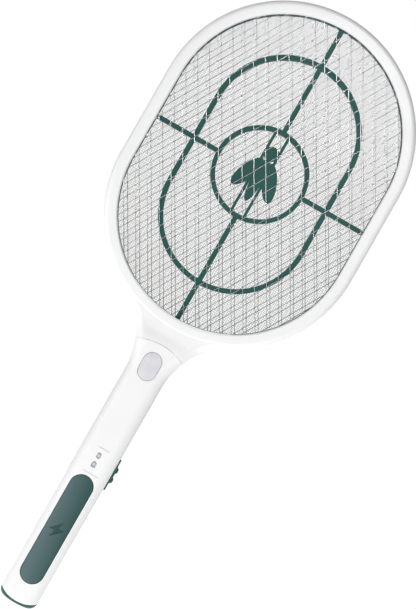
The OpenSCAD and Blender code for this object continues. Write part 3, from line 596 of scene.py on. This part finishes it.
def halfSection(wide, deep, corner, samples):
    # x and height of a half section for every row: up its right side, round the corner, over the face, round
    # the other corner and down its left side
    kind, k = samples
    stretches = [kind == part for part in range(5)]
    turn = k * np.pi / 2
    flatX, flatH = wide - corner, deep - corner
    x = np.select(stretches, [wide, flatX + corner * np.cos(turn), flatX * (1 - 2 * k),
                              -flatX - corner * np.sin(turn), -wide])
    h = np.select(stretches, [flatH * k, flatH + corner * np.sin(turn), deep,
                              flatH + corner * np.cos(turn), flatH * (1 - k)])
    return x, h


def sectionSamples():
    # which stretch of the half section each sample is on, and how far along it
    up = np.array([0, 0.09, 0.5])
    arc = np.linspace(0, 1, 18)[:-1]
    flat = np.linspace(0, 1, 17)[:-1]
    down = np.array([0, 0.5, 0.91, 1])
    stretches = [up, arc, flat, arc, down]
    return np.repeat(range(5), [len(part) for part in stretches]), np.concatenate(stretches)


def shellRows(inset):
    # Rows of half sections from the end cap's curve to the arched seam. Each column's height limits depend
    # on its own x, so they are found by repeating the step a few times.
    kind, k = sectionSamples()
    grow = 1 - (1 - np.linspace(0, 1, 14)) ** 1.5
    low = np.full(len(kind), butt + handle["firstTry"])
    high = np.full(len(kind), seamTop)
    for again in range(handle["solveSteps"]):
        wide, deep, corner = sectionAt(low, inset)
        x, h = halfSection(wide, deep, corner, (kind, k))
        low = capEdge(x)
        wide, deep, corner = sectionAt(high, inset)
        x, h = halfSection(wide, deep, corner, (kind, k))
        high = seamCentre + np.sqrt(head["seamRadius"] ** 2 - x ** 2)
    start, end = butt + handle["evenFrom"], flareStart - handle["evenTo"]
    first = low + (start - low) * grow[:, None]
    first[1] = low + handle["edgeRow"]
    even = np.linspace(start, end, 40)[1:-1, None] + 0 * low
    last = end + (high - end) * np.linspace(0, 1, 26)[:, None]
    last = np.concatenate([last[:-1], last[-1:] - handle["edgeRow"], last[-1:]])
    z = np.concatenate([first, even, last])
    wide, deep, corner = sectionAt(z, inset)
    x, h = halfSection(wide, deep, corner, (kind[None, :] + 0 * z, k[None, :] + 0 * z))
    return x, h, z


def handleHalf(name, side):
    # the outer rows of half sections, drawn in by the seam at their ends, over rows one wall further in
    x, h, z = shellRows(0)
    seam = handle["seam"]
    # fine grooves where the shell meets its neighbours
    shrink = np.ones_like(x)
    shrink[[0, -1], :] -= seam / handleDeep
    shrink[:, [0, -1]] -= seam / handleWide
    x, h = x * shrink, h * np.where(np.arange(len(h))[:, None] % (len(h) - 1) == 0, shrink, 1)
    xi, hi, zi = shellRows(handle["wall"])
    return closedStrip(name, np.stack([x, side * h, z], 2), np.stack([xi, side * hi, zi], 2))


def middle(low, high):
    return (low + high) / 2


frontShell = handleHalf("handleShellFront", -1)
holeGap = handle["holeGap"]
padMid = middle(padLow, padHigh)
padWide, _, padTall = (padHigh - padLow) / 2
padBack = padHigh[1]
lensMid = middle(lensLow, lensHigh)
lensWide, _, lensTall = (lensHigh - lensLow) / 2 - handle["lensFlange"]


def windowCutters():
    # the power window is a rectangle with round corners, the charge window a battery with its narrow top
    w, _, t = (powerHigh - powerLow) / 2 + holeGap
    yield roundRing(w, t, 1 * mm), middle(powerLow, powerHigh)[2]
    w, _, t = (chargeHigh - chargeLow) / 2 + holeGap
    shoulder = t - handle["batteryStep"]
    x = np.array([w, w, w / 2, w / 2, -w / 2, -w / 2, -w, -w])
    z = np.array([-t, shoulder, shoulder, t, t, shoulder, shoulder, -t])
    yield (x, z), middle(chargeLow, chargeHigh)[2]


outFront = -handleDeep - cutPast
px, pz = obroundRing(padWide + handle["padGap"], padTall + handle["padGap"], 96)
cutters = [prism("padSeat", px, pz + padMid[2], padBack, outFront)]
px, pz = obroundRing(lensWide + holeGap, lensTall + holeGap, 96)
cutters.append(prism("lensHole", px, pz + lensMid[2], 0, outFront))
for (px, pz), height in windowCutters():
    cutters.append(prism("windowHole", px, pz + height, 0, outFront))
cut(frontShell, cutters)
dress(frontShell, whitePlastic, "white_shell", "handle_front_shell")

rearShell = handleHalf("handleShellRear", 1)
screwLow, screwHigh = span("handle_screws")
neckLow, neckHigh = span("neck_screws")
headSize = handle["screwHead"]
neckScrewZ = middle(neckLow, neckHigh)[2]
screwHoles = [(0, screwLow[2] + headSize), (0, span("battery_cell")[1][2] + handle["screwAboveCell"]),
              (0, screwHigh[2] - headSize), (neckLow[0] + headSize, neckScrewZ),
              (neckHigh[0] - headSize, neckScrewZ)]
px, pz = obroundRing(handle["screwRadius"], handle["screwRadius"], 32)
cutters = [prism("screwHole", px + x0, pz + z0, 0, handleDeep + cutPast) for x0, z0 in screwHoles]
cut(rearShell, cutters)
dress(rearShell, whitePlastic, "white_shell", "handle_rear_shell")
print("handle shells ready")


def endCap():
    # Rows of whole sections from the curved edge down to the flat end, and a thin wall back up inside
    kind, k = (part[:-1] for part in sectionSamples())

    def whole(z, inset):
        samples = (kind[None, :] + np.zeros(z.shape, int), k[None, :] + 0 * z)
        return halfSection(*sectionAt(z, inset), samples)

    def edge(inset):
        low = np.full((1, len(kind)), butt + handle["firstTry"])
        for again in range(handle["solveSteps"]):
            low = capEdge(whole(low, inset)[0])
        return low

    share = np.concatenate([[0, 0.08], np.linspace(0.15, 1, 14)])[:, None]
    low = edge(0)
    z = low + (butt - low) * np.sin(share * np.pi / 2) ** handle["capEnd"]
    x, h = whole(z, 0)
    x[0] *= 1 - handle["seam"] / handleWide
    h[0] *= 1 - handle["seam"] / handleDeep
    fade = np.array([0.8, 0.55, 0.3])[:, None]
    x = np.concatenate([x, x[-1:] * fade])
    h = np.concatenate([h, h[-1:] * fade])
    z = np.concatenate([z, z[-1:] + 0 * fade])
    zi = edge(handle["capWall"])
    zi = np.concatenate([zi + (butt + handle["capFloor"] - zi) * s for s in (1, 0.6, 0.3, 0)])
    xi, hi = whole(zi, handle["capWall"])
    allX = np.concatenate([x[::-1], xi[::-1]])
    allH = np.concatenate([h[::-1], hi[::-1]])
    allZ = np.concatenate([z[::-1], zi[::-1]])
    front = np.stack([allX, -allH, allZ], 2)
    back = np.stack([-allX, allH, allZ], 2)
    loop = np.concatenate([front, back], 1)
    rows, cols = loop.shape[:2]
    points = loop.reshape(-1, 3).tolist()
    faces = gridFaces(rows, cols, closeCols=True).tolist()
    points += [[0, 0, butt], [0, 0, float(zi[0].min())]]
    c = np.arange(cols)
    n = (c + 1) % cols
    under = np.stack([c, n, np.full(cols, rows * cols)], 1)
    inside = np.stack([(rows - 1) * cols + n, (rows - 1) * cols + c, np.full(cols, rows * cols + 1)], 1)
    faces += np.stack([under, inside], 1).reshape(-1, 3).tolist()
    return outward(addMesh("endCap", points, faces))


cap = endCap()
socketLow, socketHigh = span("charging_socket")
socketWide, socketDeep, _ = (socketHigh - socketLow) / 2 + holeGap
sx, sy = roundRing(socketWide, socketDeep, 1 * mm)
socketHole = prism("socketHole", sx, sy, -10 * mm, 12 * mm)      # drawn along y, then turned upright
socketHole.data.transform(Matrix.Translation((0, 0, butt)) @ Matrix.Rotation(np.pi / 2, 4, "X"))
outward(socketHole)
cut(cap, [socketHole])
dress(cap, greenPlastic, "green_plastic", "end_cap")
print("end cap ready")


# grip pad
pad = {
    "proud": 0.1 * mm,
    "crown": 0.4 * mm,
    "edge": 0.8 * mm,            # rounding of its rim
    "boltDepth": 0.4 * mm,
    "boltHeight": 15 * mm,
    "boltSoft": 0.3 * mm,
    # the dark rim round the pad, a painted shadow: how far out, how low and how round
    "shadowRimOut": 0.27 * mm,
    "shadowRimLow": 0.12 * mm,
    "shadowRimEdge": 0.1 * mm,
    "frontOnly": 0.3 * mm,       # the painted shade of the sunk bolt counts only this far in front of the pad's back
}


def boltInside(x, z):
    # signed distance to a lightning bolt outline, negative inside: the least distance to its six edges, with
    # a point inside where a line sideways from it crosses an odd number of them
    shape = np.array([[0.2, 0.5], [-0.38, -0.08], [-0.07, -0.1], [-0.2, -0.5], [0.38, 0.08], [0.07, 0.1]])
    shape = shape * pad["boltHeight"]
    dist = np.full(x.shape, 1.0)
    inside = np.zeros(x.shape, bool)
    for a, b in zip(shape, np.roll(shape, -1, 0)):
        edge = b - a
        t = np.clip(((x - a[0]) * edge[0] + (z - a[1]) * edge[1]) / (edge @ edge), 0, 1)
        dist = np.minimum(dist, np.hypot(x - a[0] - t * edge[0], z - a[1] - t * edge[1]))
        crosses = ((a[1] > z) != (b[1] > z)) & (x < (b[0] - a[0]) * (z - a[1]) / (b[1] - a[1] + 1e-12) + a[0])
        inside ^= crosses
    return np.where(inside, -dist, dist)


def obroundPatch(name, wide, tall, centreZ, depth, lift, crown, edge, rows, cols, dent=None):
    # Height field over an obround: each row spans the obround's width at its height. The edge is rounded and
    # the face follows the handle's front, lifted by a small amount; a flat back closes it.
    s = np.sin(np.linspace(-np.pi / 2, np.pi / 2, cols))[None, :]
    ends = 1 - np.cos(np.linspace(0, np.pi / 2, 24))
    z = np.concatenate([-tall + wide * ends[1:], np.linspace(wide - tall, tall - wide, rows)[1:-1],
                        tall - wide * ends[1:][::-1]])[:, None]
    past = np.clip(np.abs(z) - (tall - wide), 0, wide)
    half = np.sqrt(np.maximum(wide ** 2 - past ** 2, (0.02 * wide) ** 2))
    x = s * half
    inner = wide - np.hypot(x, past)                       # distance in from the edge
    inner = np.clip(inner, 0, edge)
    rounded = edge - np.sqrt(np.maximum(edge ** 2 - (edge - inner) ** 2, 0))
    flat = handleWide - handle["corner"]
    over = np.clip(np.abs(x) - flat, 0, None)
    face = handleDeep - handle["corner"] + np.sqrt(handle["corner"] ** 2 - over ** 2) + lift - rounded
    face = face + crown * (1 - (np.hypot(x, past) / wide) ** 2)
    if dent is not None:
        face = face - dent(x, z + 0 * x)
    top = np.stack([x, -face, z + 0 * x + centreZ], 2)
    back = np.stack([x, np.full_like(x, -depth), z + 0 * x + centreZ], 2)
    return closedStrip(name, top, back)


def boltDent(x, z):
    return pad["boltDepth"] * smoothStep(0.5 - boltInside(x, z) / pad["boltSoft"])


gripPad = obroundPatch("gripPad", padWide, padTall, padMid[2], -padBack, pad["proud"], pad["crown"],
                       pad["edge"], 300, 90, boltDent)
crisp(gripPad, 50)
corners = np.empty(len(gripPad.data.vertices) * 3)
gripPad.data.vertices.foreach_get("co", corners)
corners = corners.reshape(-1, 3)
# painted shade: the attribute marks where the pad turns darker inside the sunk bolt
bolt = gripPad.data.attributes.new("bolt", "FLOAT", "POINT")
boltShadeMask = smoothStep(0.5 - boltInside(corners[:, 0], corners[:, 2] - padMid[2]) / pad["boltSoft"])
bolt.data.foreach_set("value", boltShadeMask * (corners[:, 1] < padBack - pad["frontOnly"]))
dress(gripPad, padRubber, "grip_green", "grip_pad")

# a thin dark rim that shows as a line round the pad: painted shadow, a dark sheet in the gap where there is
# only shade
rim = obroundPatch("gripPadShadowRim", padWide + pad["shadowRimOut"], padTall + pad["shadowRimOut"], padMid[2], -padBack,
                   -pad["shadowRimLow"], 0, pad["shadowRimEdge"], 40, 60)
dress(rim, padGapShadow, "grip_green")

lensShape = {
    "crown": 0.5 * mm,
    "edge": 0.8 * mm,
}
lens = obroundPatch("torchLens", lensWide, lensTall, lensMid[2], -lensHigh[1], 0, lensShape["crown"],
                    lensShape["edge"], 40, 60)
crisp(lens, 50)
dress(lens, lensPlastic, "frosted_lens", "torch_lens")
print("pad and lens ready")


# plain printed dashes beside the indicator windows
dashes = {
    "upper": (-3.5 * mm, 6.1 * mm, 71.4 * mm),     # left end, right end, height
    "lower": (-5.3 * mm, 8.3 * mm, 50 * mm),
}
dashHalf, dashProud, dashSunk = 0.55 * mm, 0.03 * mm, 0.3 * mm
for name, (x0, x1, z0) in dashes.items():
    dash = prism("printedDash_" + name, *rectangle(x0, x1, z0 - dashHalf, z0 + dashHalf),
                 -handleDeep - dashProud, -handleDeep + dashSunk)
    dress(dash, printGrey, "white_shell")

# side switch
switch = {
    "plateEdge": 0.7 * mm,
    "plateCorner": 3 * mm,
    "slotHalf": 2.2 * mm,        # across the handle
    "slotTall": 5.5 * mm,        # half its length
    "slotReach": 8 * mm,
    "knobHalf": 7 * mm,          # half its length
    "knobLift": 0.05 * mm,       # above the plate
    "knobEdge": 0.6 * mm,
    "knobCorner": 1.6 * mm,
    "knobBase": 0.7 * mm,        # thickness between the ridges
    "ridgeSpacing": 8.2 * mm,
    "ridgeHalf": 2 * mm,
    "stemHalf": 2 * mm,          # the square stem
    "stemIn": 0.5 * mm,          # how far it reaches into the knob
    "stemLift": 0.1 * mm,
    "shieldHalf": 3 * mm,        # the shield behind the plate
    "shieldThick": 1 * mm,
}


def reliefPatch(name, halfZ, halfY, centreZ, baseX, topOf, edge, rows, cols, corner):
    # Height field towards +x over a rectangle with round corners in z and y, closed with a flat base
    u = np.sin(np.linspace(-np.pi / 2, np.pi / 2, rows))[:, None]
    v = np.sin(np.linspace(-np.pi / 2, np.pi / 2, cols))[None, :]
    z = u * halfZ + 0 * v
    past = np.clip(np.abs(z) - (halfZ - corner), 0, corner)
    y = v * (halfY - corner + np.sqrt(np.maximum(corner ** 2 - past ** 2, (0.02 * corner) ** 2)))
    cy = np.clip(np.abs(y) - (halfY - corner), 0, None)
    inner = np.where((past > 0) & (cy > 0), corner - np.hypot(past, cy),
                     np.minimum(halfZ - np.abs(z), halfY - np.abs(y)))
    inner = np.clip(inner, 0, edge)
    drop = edge - np.sqrt(np.maximum(edge ** 2 - (edge - inner) ** 2, 0))
    x = topOf(z, y) - drop
    face = np.stack([x, y, z + centreZ], 2)
    back = np.stack([np.full_like(x, baseX), y, z + centreZ], 2)
    return closedStrip(name, face, back)


bezelMid = middle(bezelLow, bezelHigh)
bezelSize = (bezelHigh - bezelLow) / 2
plate = reliefPatch("switchPlate", bezelSize[2], bezelSize[1], bezelMid[2], bezelLow[0],
                    lambda z, y: bezelHigh[0] + 0 * z, switch["plateEdge"], 60, 30, switch["plateCorner"])
slotHalf, slotTall, slotReach = switch["slotHalf"], switch["slotTall"], switch["slotReach"]
slot = prism("slot", *rectangle(-slotHalf, slotHalf, -slotTall, slotTall), -slotReach, slotReach)
slot.data.transform(Matrix.Translation((bezelHigh[0], 0, bezelMid[2])) @ Matrix.Rotation(np.pi / 2, 4, "Z"))
outward(slot)
cut(plate, [slot])
dress(plate, greenPlastic, "green_plastic", "switch_bezel")


def ridgeTop(z, y):
    # two round ridges across the knob with a hollow between them: the higher of two half circles
    foot = bezelHigh[0] + switch["knobBase"]
    total = 0 * z
    for sign in (-1, 1):
        away = np.abs(z - sign * switch["ridgeSpacing"] / 2) / switch["ridgeHalf"]
        total = np.maximum(total, np.sqrt(np.maximum(1 - np.clip(away, 0, 1) ** 2, 0)))
    return foot + (knobHigh[0] - foot) * total


knobMidZ = middle(knobLow, knobHigh)[2]
knob = reliefPatch("switchKnob", switch["knobHalf"], (knobHigh[1] - knobLow[1]) / 2, knobMidZ,
                   bezelHigh[0] + switch["knobLift"], ridgeTop, switch["knobEdge"], 120, 36,
                   switch["knobCorner"])
crisp(knob, 40)
# x range, half width and half height of the stem and of the shield on its inner end
stemParts = [((knobLow[0] + switch["stemLift"], bezelHigh[0] + switch["stemIn"]), switch["stemHalf"],
              switch["stemHalf"]),
             ((knobLow[0], knobLow[0] + switch["shieldThick"]), switch["shieldHalf"],
              (knobHigh[2] - knobLow[2]) / 2)]
for (x0, x1), halfY, halfZ in stemParts:
    stem = prism("switchStem", *rectangle(x0, x1, knobMidZ - halfZ, knobMidZ + halfZ), -halfY, halfY)
    dress(stem, greenPlastic, "green_plastic", body=slider)
dress(knob, greenPlastic, "green_plastic", "switch_knob", body=slider)
print("switch ready")


# grids
grids = {
    "wireRadius": 0.27 * mm,
    "diamondWidth": 10.6 * mm,
    "diamondHeight": 18.3 * mm,
    "rearAcross": 3.6 * mm,      # how far the rear grid's pattern sits off the front one's
    "rearUp": -0.8 * mm,
    "liveRadius": 0.11 * mm,
    "livePitch": 1.55 * mm,
    "liveUneven": 0.12,          # share of the pitch by which the fine wires stray
    "weldSize": (0.48 * mm, 0.8 * mm, 0.65 * mm),
    "bow": 0.06 * mm,            # small bends that hand-laid wire keeps
    "liveBow": 0.1 * mm,
    "liveLayer": 0.1 * mm,       # how far the two layers of fine wire sit from the middle
    "waves": 9,                  # radians of bend along a wire
    "spread": 160 * mm,          # wires are laid this far to either side, then kept where they meet the oval
    "reach": 300 * mm,           # and are searched this far along
    "searchSteps": 2401,
    "shortest": 4 * mm,
    "inFrame": 0.4 * mm,         # a wire ends this far inside the grid's edge
    "weldEdge": 0.5 * mm,        # beads keep this far inside the opening
}
gridRadius = meshHigh[0]


def chord(px, pz, dx, dz, radius):
    # where a line through (px, pz) along (dx, dz) enters and leaves the stadium of that radius
    t = np.linspace(-grids["reach"], grids["reach"], grids["searchSteps"])
    x = px[:, None] + dx * t
    z = pz[:, None] + dz * t
    past = np.maximum(np.abs(z) - halfStraight, 0)
    inside = np.hypot(x, past) < radius
    first = t[np.argmax(inside, 1)]
    last = t[len(t) - 1 - np.argmax(inside[:, ::-1], 1)]
    return first, last, inside.any(1)


def wires(name, families, radius, sides, steps, bow, uneven=0, moved=(0, 0)):
    # Each wire is a tube along a straight chord of the oval, bowed by a sine; a grid's wires are one mesh
    allPoints, allFaces, start = [], [], 0
    draw = np.random.default_rng(7)
    for angle, pitch, offset, y in families:
        dx, dz = np.sin(angle), np.cos(angle)
        count = int(grids["spread"] / pitch) + 1
        k = np.arange(-count, count + 1)
        k = k + uneven * draw.uniform(-1, 1, len(k))
        px = (k * pitch + offset) * np.cos(angle) + moved[0]
        pz = -(k * pitch + offset) * np.sin(angle) + moved[1]
        first, last, keep = chord(px, pz, dx, dz, gridRadius - grids["inFrame"])
        keep &= (last - first) > grids["shortest"]
        px, pz, first, last = px[keep], pz[keep], first[keep], last[keep]
        n = len(px)
        share = np.linspace(0, 1, steps)[None, :]
        t = first[:, None] + (last - first)[:, None] * share
        phase = draw.uniform(0, 2 * np.pi, (n, 1))
        side = bow * np.sin(phase + grids["waves"] * share)
        cx = px[:, None] + dx * t + dz * side
        cz = pz[:, None] + dz * t - dx * side
        turn = np.arange(sides) * 2 * np.pi / sides
        across = radius * np.cos(turn)
        x = cx[..., None] + dz * across
        z = cz[..., None] - dx * across
        points = np.stack([x, y + radius * np.sin(turn) + 0 * x, z + headMid], -1).reshape(-1, 3)
        quads = gridFaces(steps, sides, closeCols=True)
        per = steps * sides
        base = (np.arange(n) * per)[:, None, None]
        faces = (quads[None] + base).reshape(-1, 4) + start
        allPoints.append(points)
        allFaces += faces.tolist()
        ring = np.arange(sides)
        for b in base.ravel() + start:
            allFaces.append((ring[::-1] + b).tolist())
            allFaces.append((ring + b + per - sides).tolist())
        start += n * per
    return outward(addMesh(name, np.concatenate(allPoints), allFaces, 60))


def welds(name, y, moved=(0, 0)):
    # A small eight-sided bead at every crossing of an outer grid, longer along the handle than across
    cols = int(gridRadius / grids["diamondWidth"] * 2) + 2
    rows = int((gridRadius + halfStraight) / grids["diamondHeight"] * 2) + 2
    i, j = np.meshgrid(np.arange(-cols, cols + 1), np.arange(-rows, rows + 1), indexing="ij")
    odd = ((i + j) % 2 == 1).ravel()
    x = (i.ravel()[odd] * grids["diamondWidth"]) / 2 + moved[0]
    z = (j.ravel()[odd] * grids["diamondHeight"]) / 2 + moved[1]
    keep = np.hypot(x, np.maximum(np.abs(z) - halfStraight, 0)) < openRadius - grids["weldEdge"]
    x, z = x[keep], z[keep]
    wide, tall, deep = grids["weldSize"]
    unit = np.array([[-1, 0, 0], [1, 0, 0], [0, 0, -1], [0, 0, 1], [0, -1, 0], [0, 1, 0]])
    unit = unit * (wide, deep, tall)
    sides = np.array([[0, 2, 4], [2, 1, 4], [1, 3, 4], [3, 0, 4], [2, 0, 5], [1, 2, 5], [3, 1, 5], [0, 3, 5]])
    centres = np.stack([x, np.full_like(x, y), z + headMid], 1)
    points = (centres[:, None, :] + unit[None]).reshape(-1, 3)
    faces = (sides[None] + 6 * np.arange(len(x))[:, None, None]).reshape(-1, 3)
    return outward(addMesh(name, points, faces, 180))


wireLean = np.arctan2(grids["diamondWidth"], grids["diamondHeight"])
wirePitch = grids["diamondWidth"] * np.cos(wireLean)
meshY = middle(meshLow, meshHigh)[1]
rearMoved = (grids["rearAcross"], grids["rearUp"])


def outerGrid(side, y, node, moved=(0, 0)):
    # two layers of crossed wire with a bead at each crossing
    layer = 0.8 * grids["wireRadius"]
    families = [(turn * wireLean, wirePitch, wirePitch / 2, y - turn * layer) for turn in (1, -1)]
    laid = wires(side + "Mesh", families, grids["wireRadius"], 8, 14, grids["bow"], moved=moved)
    dress(laid, steelWire, "grid_wire", node)
    dress(welds(side + "Welds", y, moved), weldMetal, "grid_wire")


outerGrid("front", meshY, "front_mesh")
outerGrid("rear", -meshY, "rear_mesh", rearMoved)
liveFamilies = [(0, grids["livePitch"], 0, -grids["liveLayer"]),
                (np.pi / 2, grids["livePitch"], 0, grids["liveLayer"])]
liveWires = wires("liveMesh", liveFamilies, grids["liveRadius"], 4, 24, grids["liveBow"], grids["liveUneven"])
dress(liveWires, liveWire, "grid_wire", "high_voltage_mesh")
print("grids ready")

# CAD nodes that stay, with softened edges and their own finish
softEdges = {
    "front_spacer": 0.4 * mm, "rear_spacer": 0.4 * mm, "power_window": 0.25 * mm, "charge_window": 0.25 * mm,
    "head_screws": 0.1 * mm, "neck_screws": 0.1 * mm, "handle_screws": 0.1 * mm, "charging_socket": 0.1 * mm,
}
for entry in frame["record"]["subparts"]:
    node = entry["node"]
    piece = nodes[node]
    piece.data.materials.clear()
    window = node.endswith("_window")
    piece.data.materials.append(windowPaintedLight if window else finishes[entry["material_slot"]])
    if node in softEdges:
        weld = piece.modifiers.new("weld", "WELD")
        weld.merge_threshold = 0.01 * mm
        bevel = piece.modifiers.new("bevel", "BEVEL")
        bevel.width = softEdges[node]
        bevel.segments = 2
        bevel.limit_method = "ANGLE"
        bevel.angle_limit = np.radians(40)

# stage, light and camera
stage = {
    "floorSize": 1.2,
    "distance": 1.8,
    "viewHigh": 468.3 * mm,      # height of the view at the object
    "aimAcross": 15.1 * mm,
    "aimUp": 273.8 * mm,         # above the handle's end
    "lean": 29.8,                # the head leans to the right by this angle
}

floorData = bpy.data.meshes.new("floor")
half = stage["floorSize"]
floorX, floorY = rectangle(-half, half, -half, half)
floorData.from_pydata([(x, y, butt) for x, y in zip(floorX, floorY)], [], [(0, 1, 2, 3)])
floor = bpy.data.objects.new("floor", floorData)
bpy.context.scene.collection.objects.link(floor)
floorMaterial, floorShader = newMaterial("paleFloor", (0.9, 0.9, 0.9), 0.8, 0.1)
setInputs(floorShader, {"Emission Color": (1, 1, 1, 1), "Emission Strength": 1.0})
floorData.materials.append(floorMaterial)

light = {
    "skyHigh": 0.24,             # brightness of the surroundings above
    "skyLow": 0.1,               # and below
    "mirrored": 0.25,            # share of that brightness that metal reflects
    "fadeFrom": -0.12,           # the change between them, as heights on a sphere of radius one
    "fadeTo": 0.3,
    "lit": (-0.3, 0, 0.95),      # direction of the bright side
}
# name: place, point it faces, size, power
softboxes = {
    "frontSoftbox": ((0.15, -1.05, 0.62), (0, 0, 0.2), (0.3, 0.3), 3.35),
    "glintSoftbox": ((0.09, -1.05, 0.46), (0, 0, 0.35), (0.16, 0.16), 0.7),
    "sideSoftbox": ((-0.95, -0.65, 0), (0, 0, 0), (0.6, 1.0), 3.7),
    "fillSoftbox": ((0.9, -0.7, -0.1), (0, 0, 0.1), (0.5, 0.5), 0.8),
}


def studioWorld():
    # Surroundings that fade from the lit side to the far side, over a plain white backdrop
    world = bpy.data.worlds.new("studio")
    world.use_nodes = True
    tree = world.node_tree
    white = (1, 1, 1, 1)
    around = tree.nodes["Background"]
    setInputs(around, {"Color": white})
    backdrop = addNode(world, "ShaderNodeBackground", {"Color": white})
    place = addNode(world, "ShaderNodeTexCoord")
    dot = addNode(world, "ShaderNodeVectorMath")
    dot.operation = "DOT_PRODUCT"
    dot.inputs[1].default_value = Vector(light["lit"]).normalized()
    fade = addNode(world, "ShaderNodeMapRange",
                   {"From Min": light["fadeFrom"], "From Max": light["fadeTo"],
                    "To Min": light["skyLow"], "To Max": light["skyHigh"]})
    fade.interpolation_type = "SMOOTHSTEP"
    path = addNode(world, "ShaderNodeLightPath")
    pick = addNode(world, "ShaderNodeMixShader")
    mirror = addNode(world, "ShaderNodeMapRange", {"To Min": 1, "To Max": light["mirrored"]})
    level = addNode(world, "ShaderNodeMath")
    level.operation = "MULTIPLY"
    link = tree.links.new
    link(place.outputs["Generated"], dot.inputs[0])
    link(dot.outputs["Value"], fade.inputs["Value"])
    link(path.outputs["Is Glossy Ray"], mirror.inputs["Value"])
    link(fade.outputs["Result"], level.inputs[0])
    link(mirror.outputs["Result"], level.inputs[1])
    link(level.outputs["Value"], around.inputs["Strength"])
    link(path.outputs["Is Camera Ray"], pick.inputs["Fac"])
    link(around.outputs["Background"], pick.inputs[1])
    link(backdrop.outputs["Background"], pick.inputs[2])
    link(pick.outputs["Shader"], tree.nodes["World Output"].inputs["Surface"])
    bpy.context.scene.world = world


def softbox(name, place, aim, size, power):
    lamp = bpy.data.lights.new(name, "AREA")
    lamp.shape = "RECTANGLE"
    lamp.size, lamp.size_y = size
    lamp.energy = power
    holder = bpy.data.objects.new(name, lamp)
    holder.location = place
    holder.rotation_euler = (Vector(aim) - Vector(place)).to_track_quat("-Z", "Y").to_euler()
    holder.visible_camera = False
    bpy.context.scene.collection.objects.link(holder)


studioWorld()
for name, settings in softboxes.items():
    softbox(name, *settings)

camera = bpy.data.cameras.new("camera")
camera.sensor_width = 36
camera.lens = camera.sensor_width * stage["distance"] / stage["viewHigh"]
holder = bpy.data.objects.new("camera", camera)
tilt = np.radians(stage["lean"])
right = Vector((np.cos(tilt), 0, np.sin(tilt)))
upward = Vector((-np.sin(tilt), 0, np.cos(tilt)))
back = Vector((0, -1, 0))
place = Vector((stage["aimAcross"], -handleDeep - stage["distance"], butt + stage["aimUp"]))
turned = Matrix((right, upward, back)).transposed().to_4x4()
holder.matrix_world = Matrix.Translation(place) @ turned
bpy.context.scene.collection.objects.link(holder)
bpy.context.scene.camera = holder
bpy.context.scene.view_settings.view_transform = "Standard"
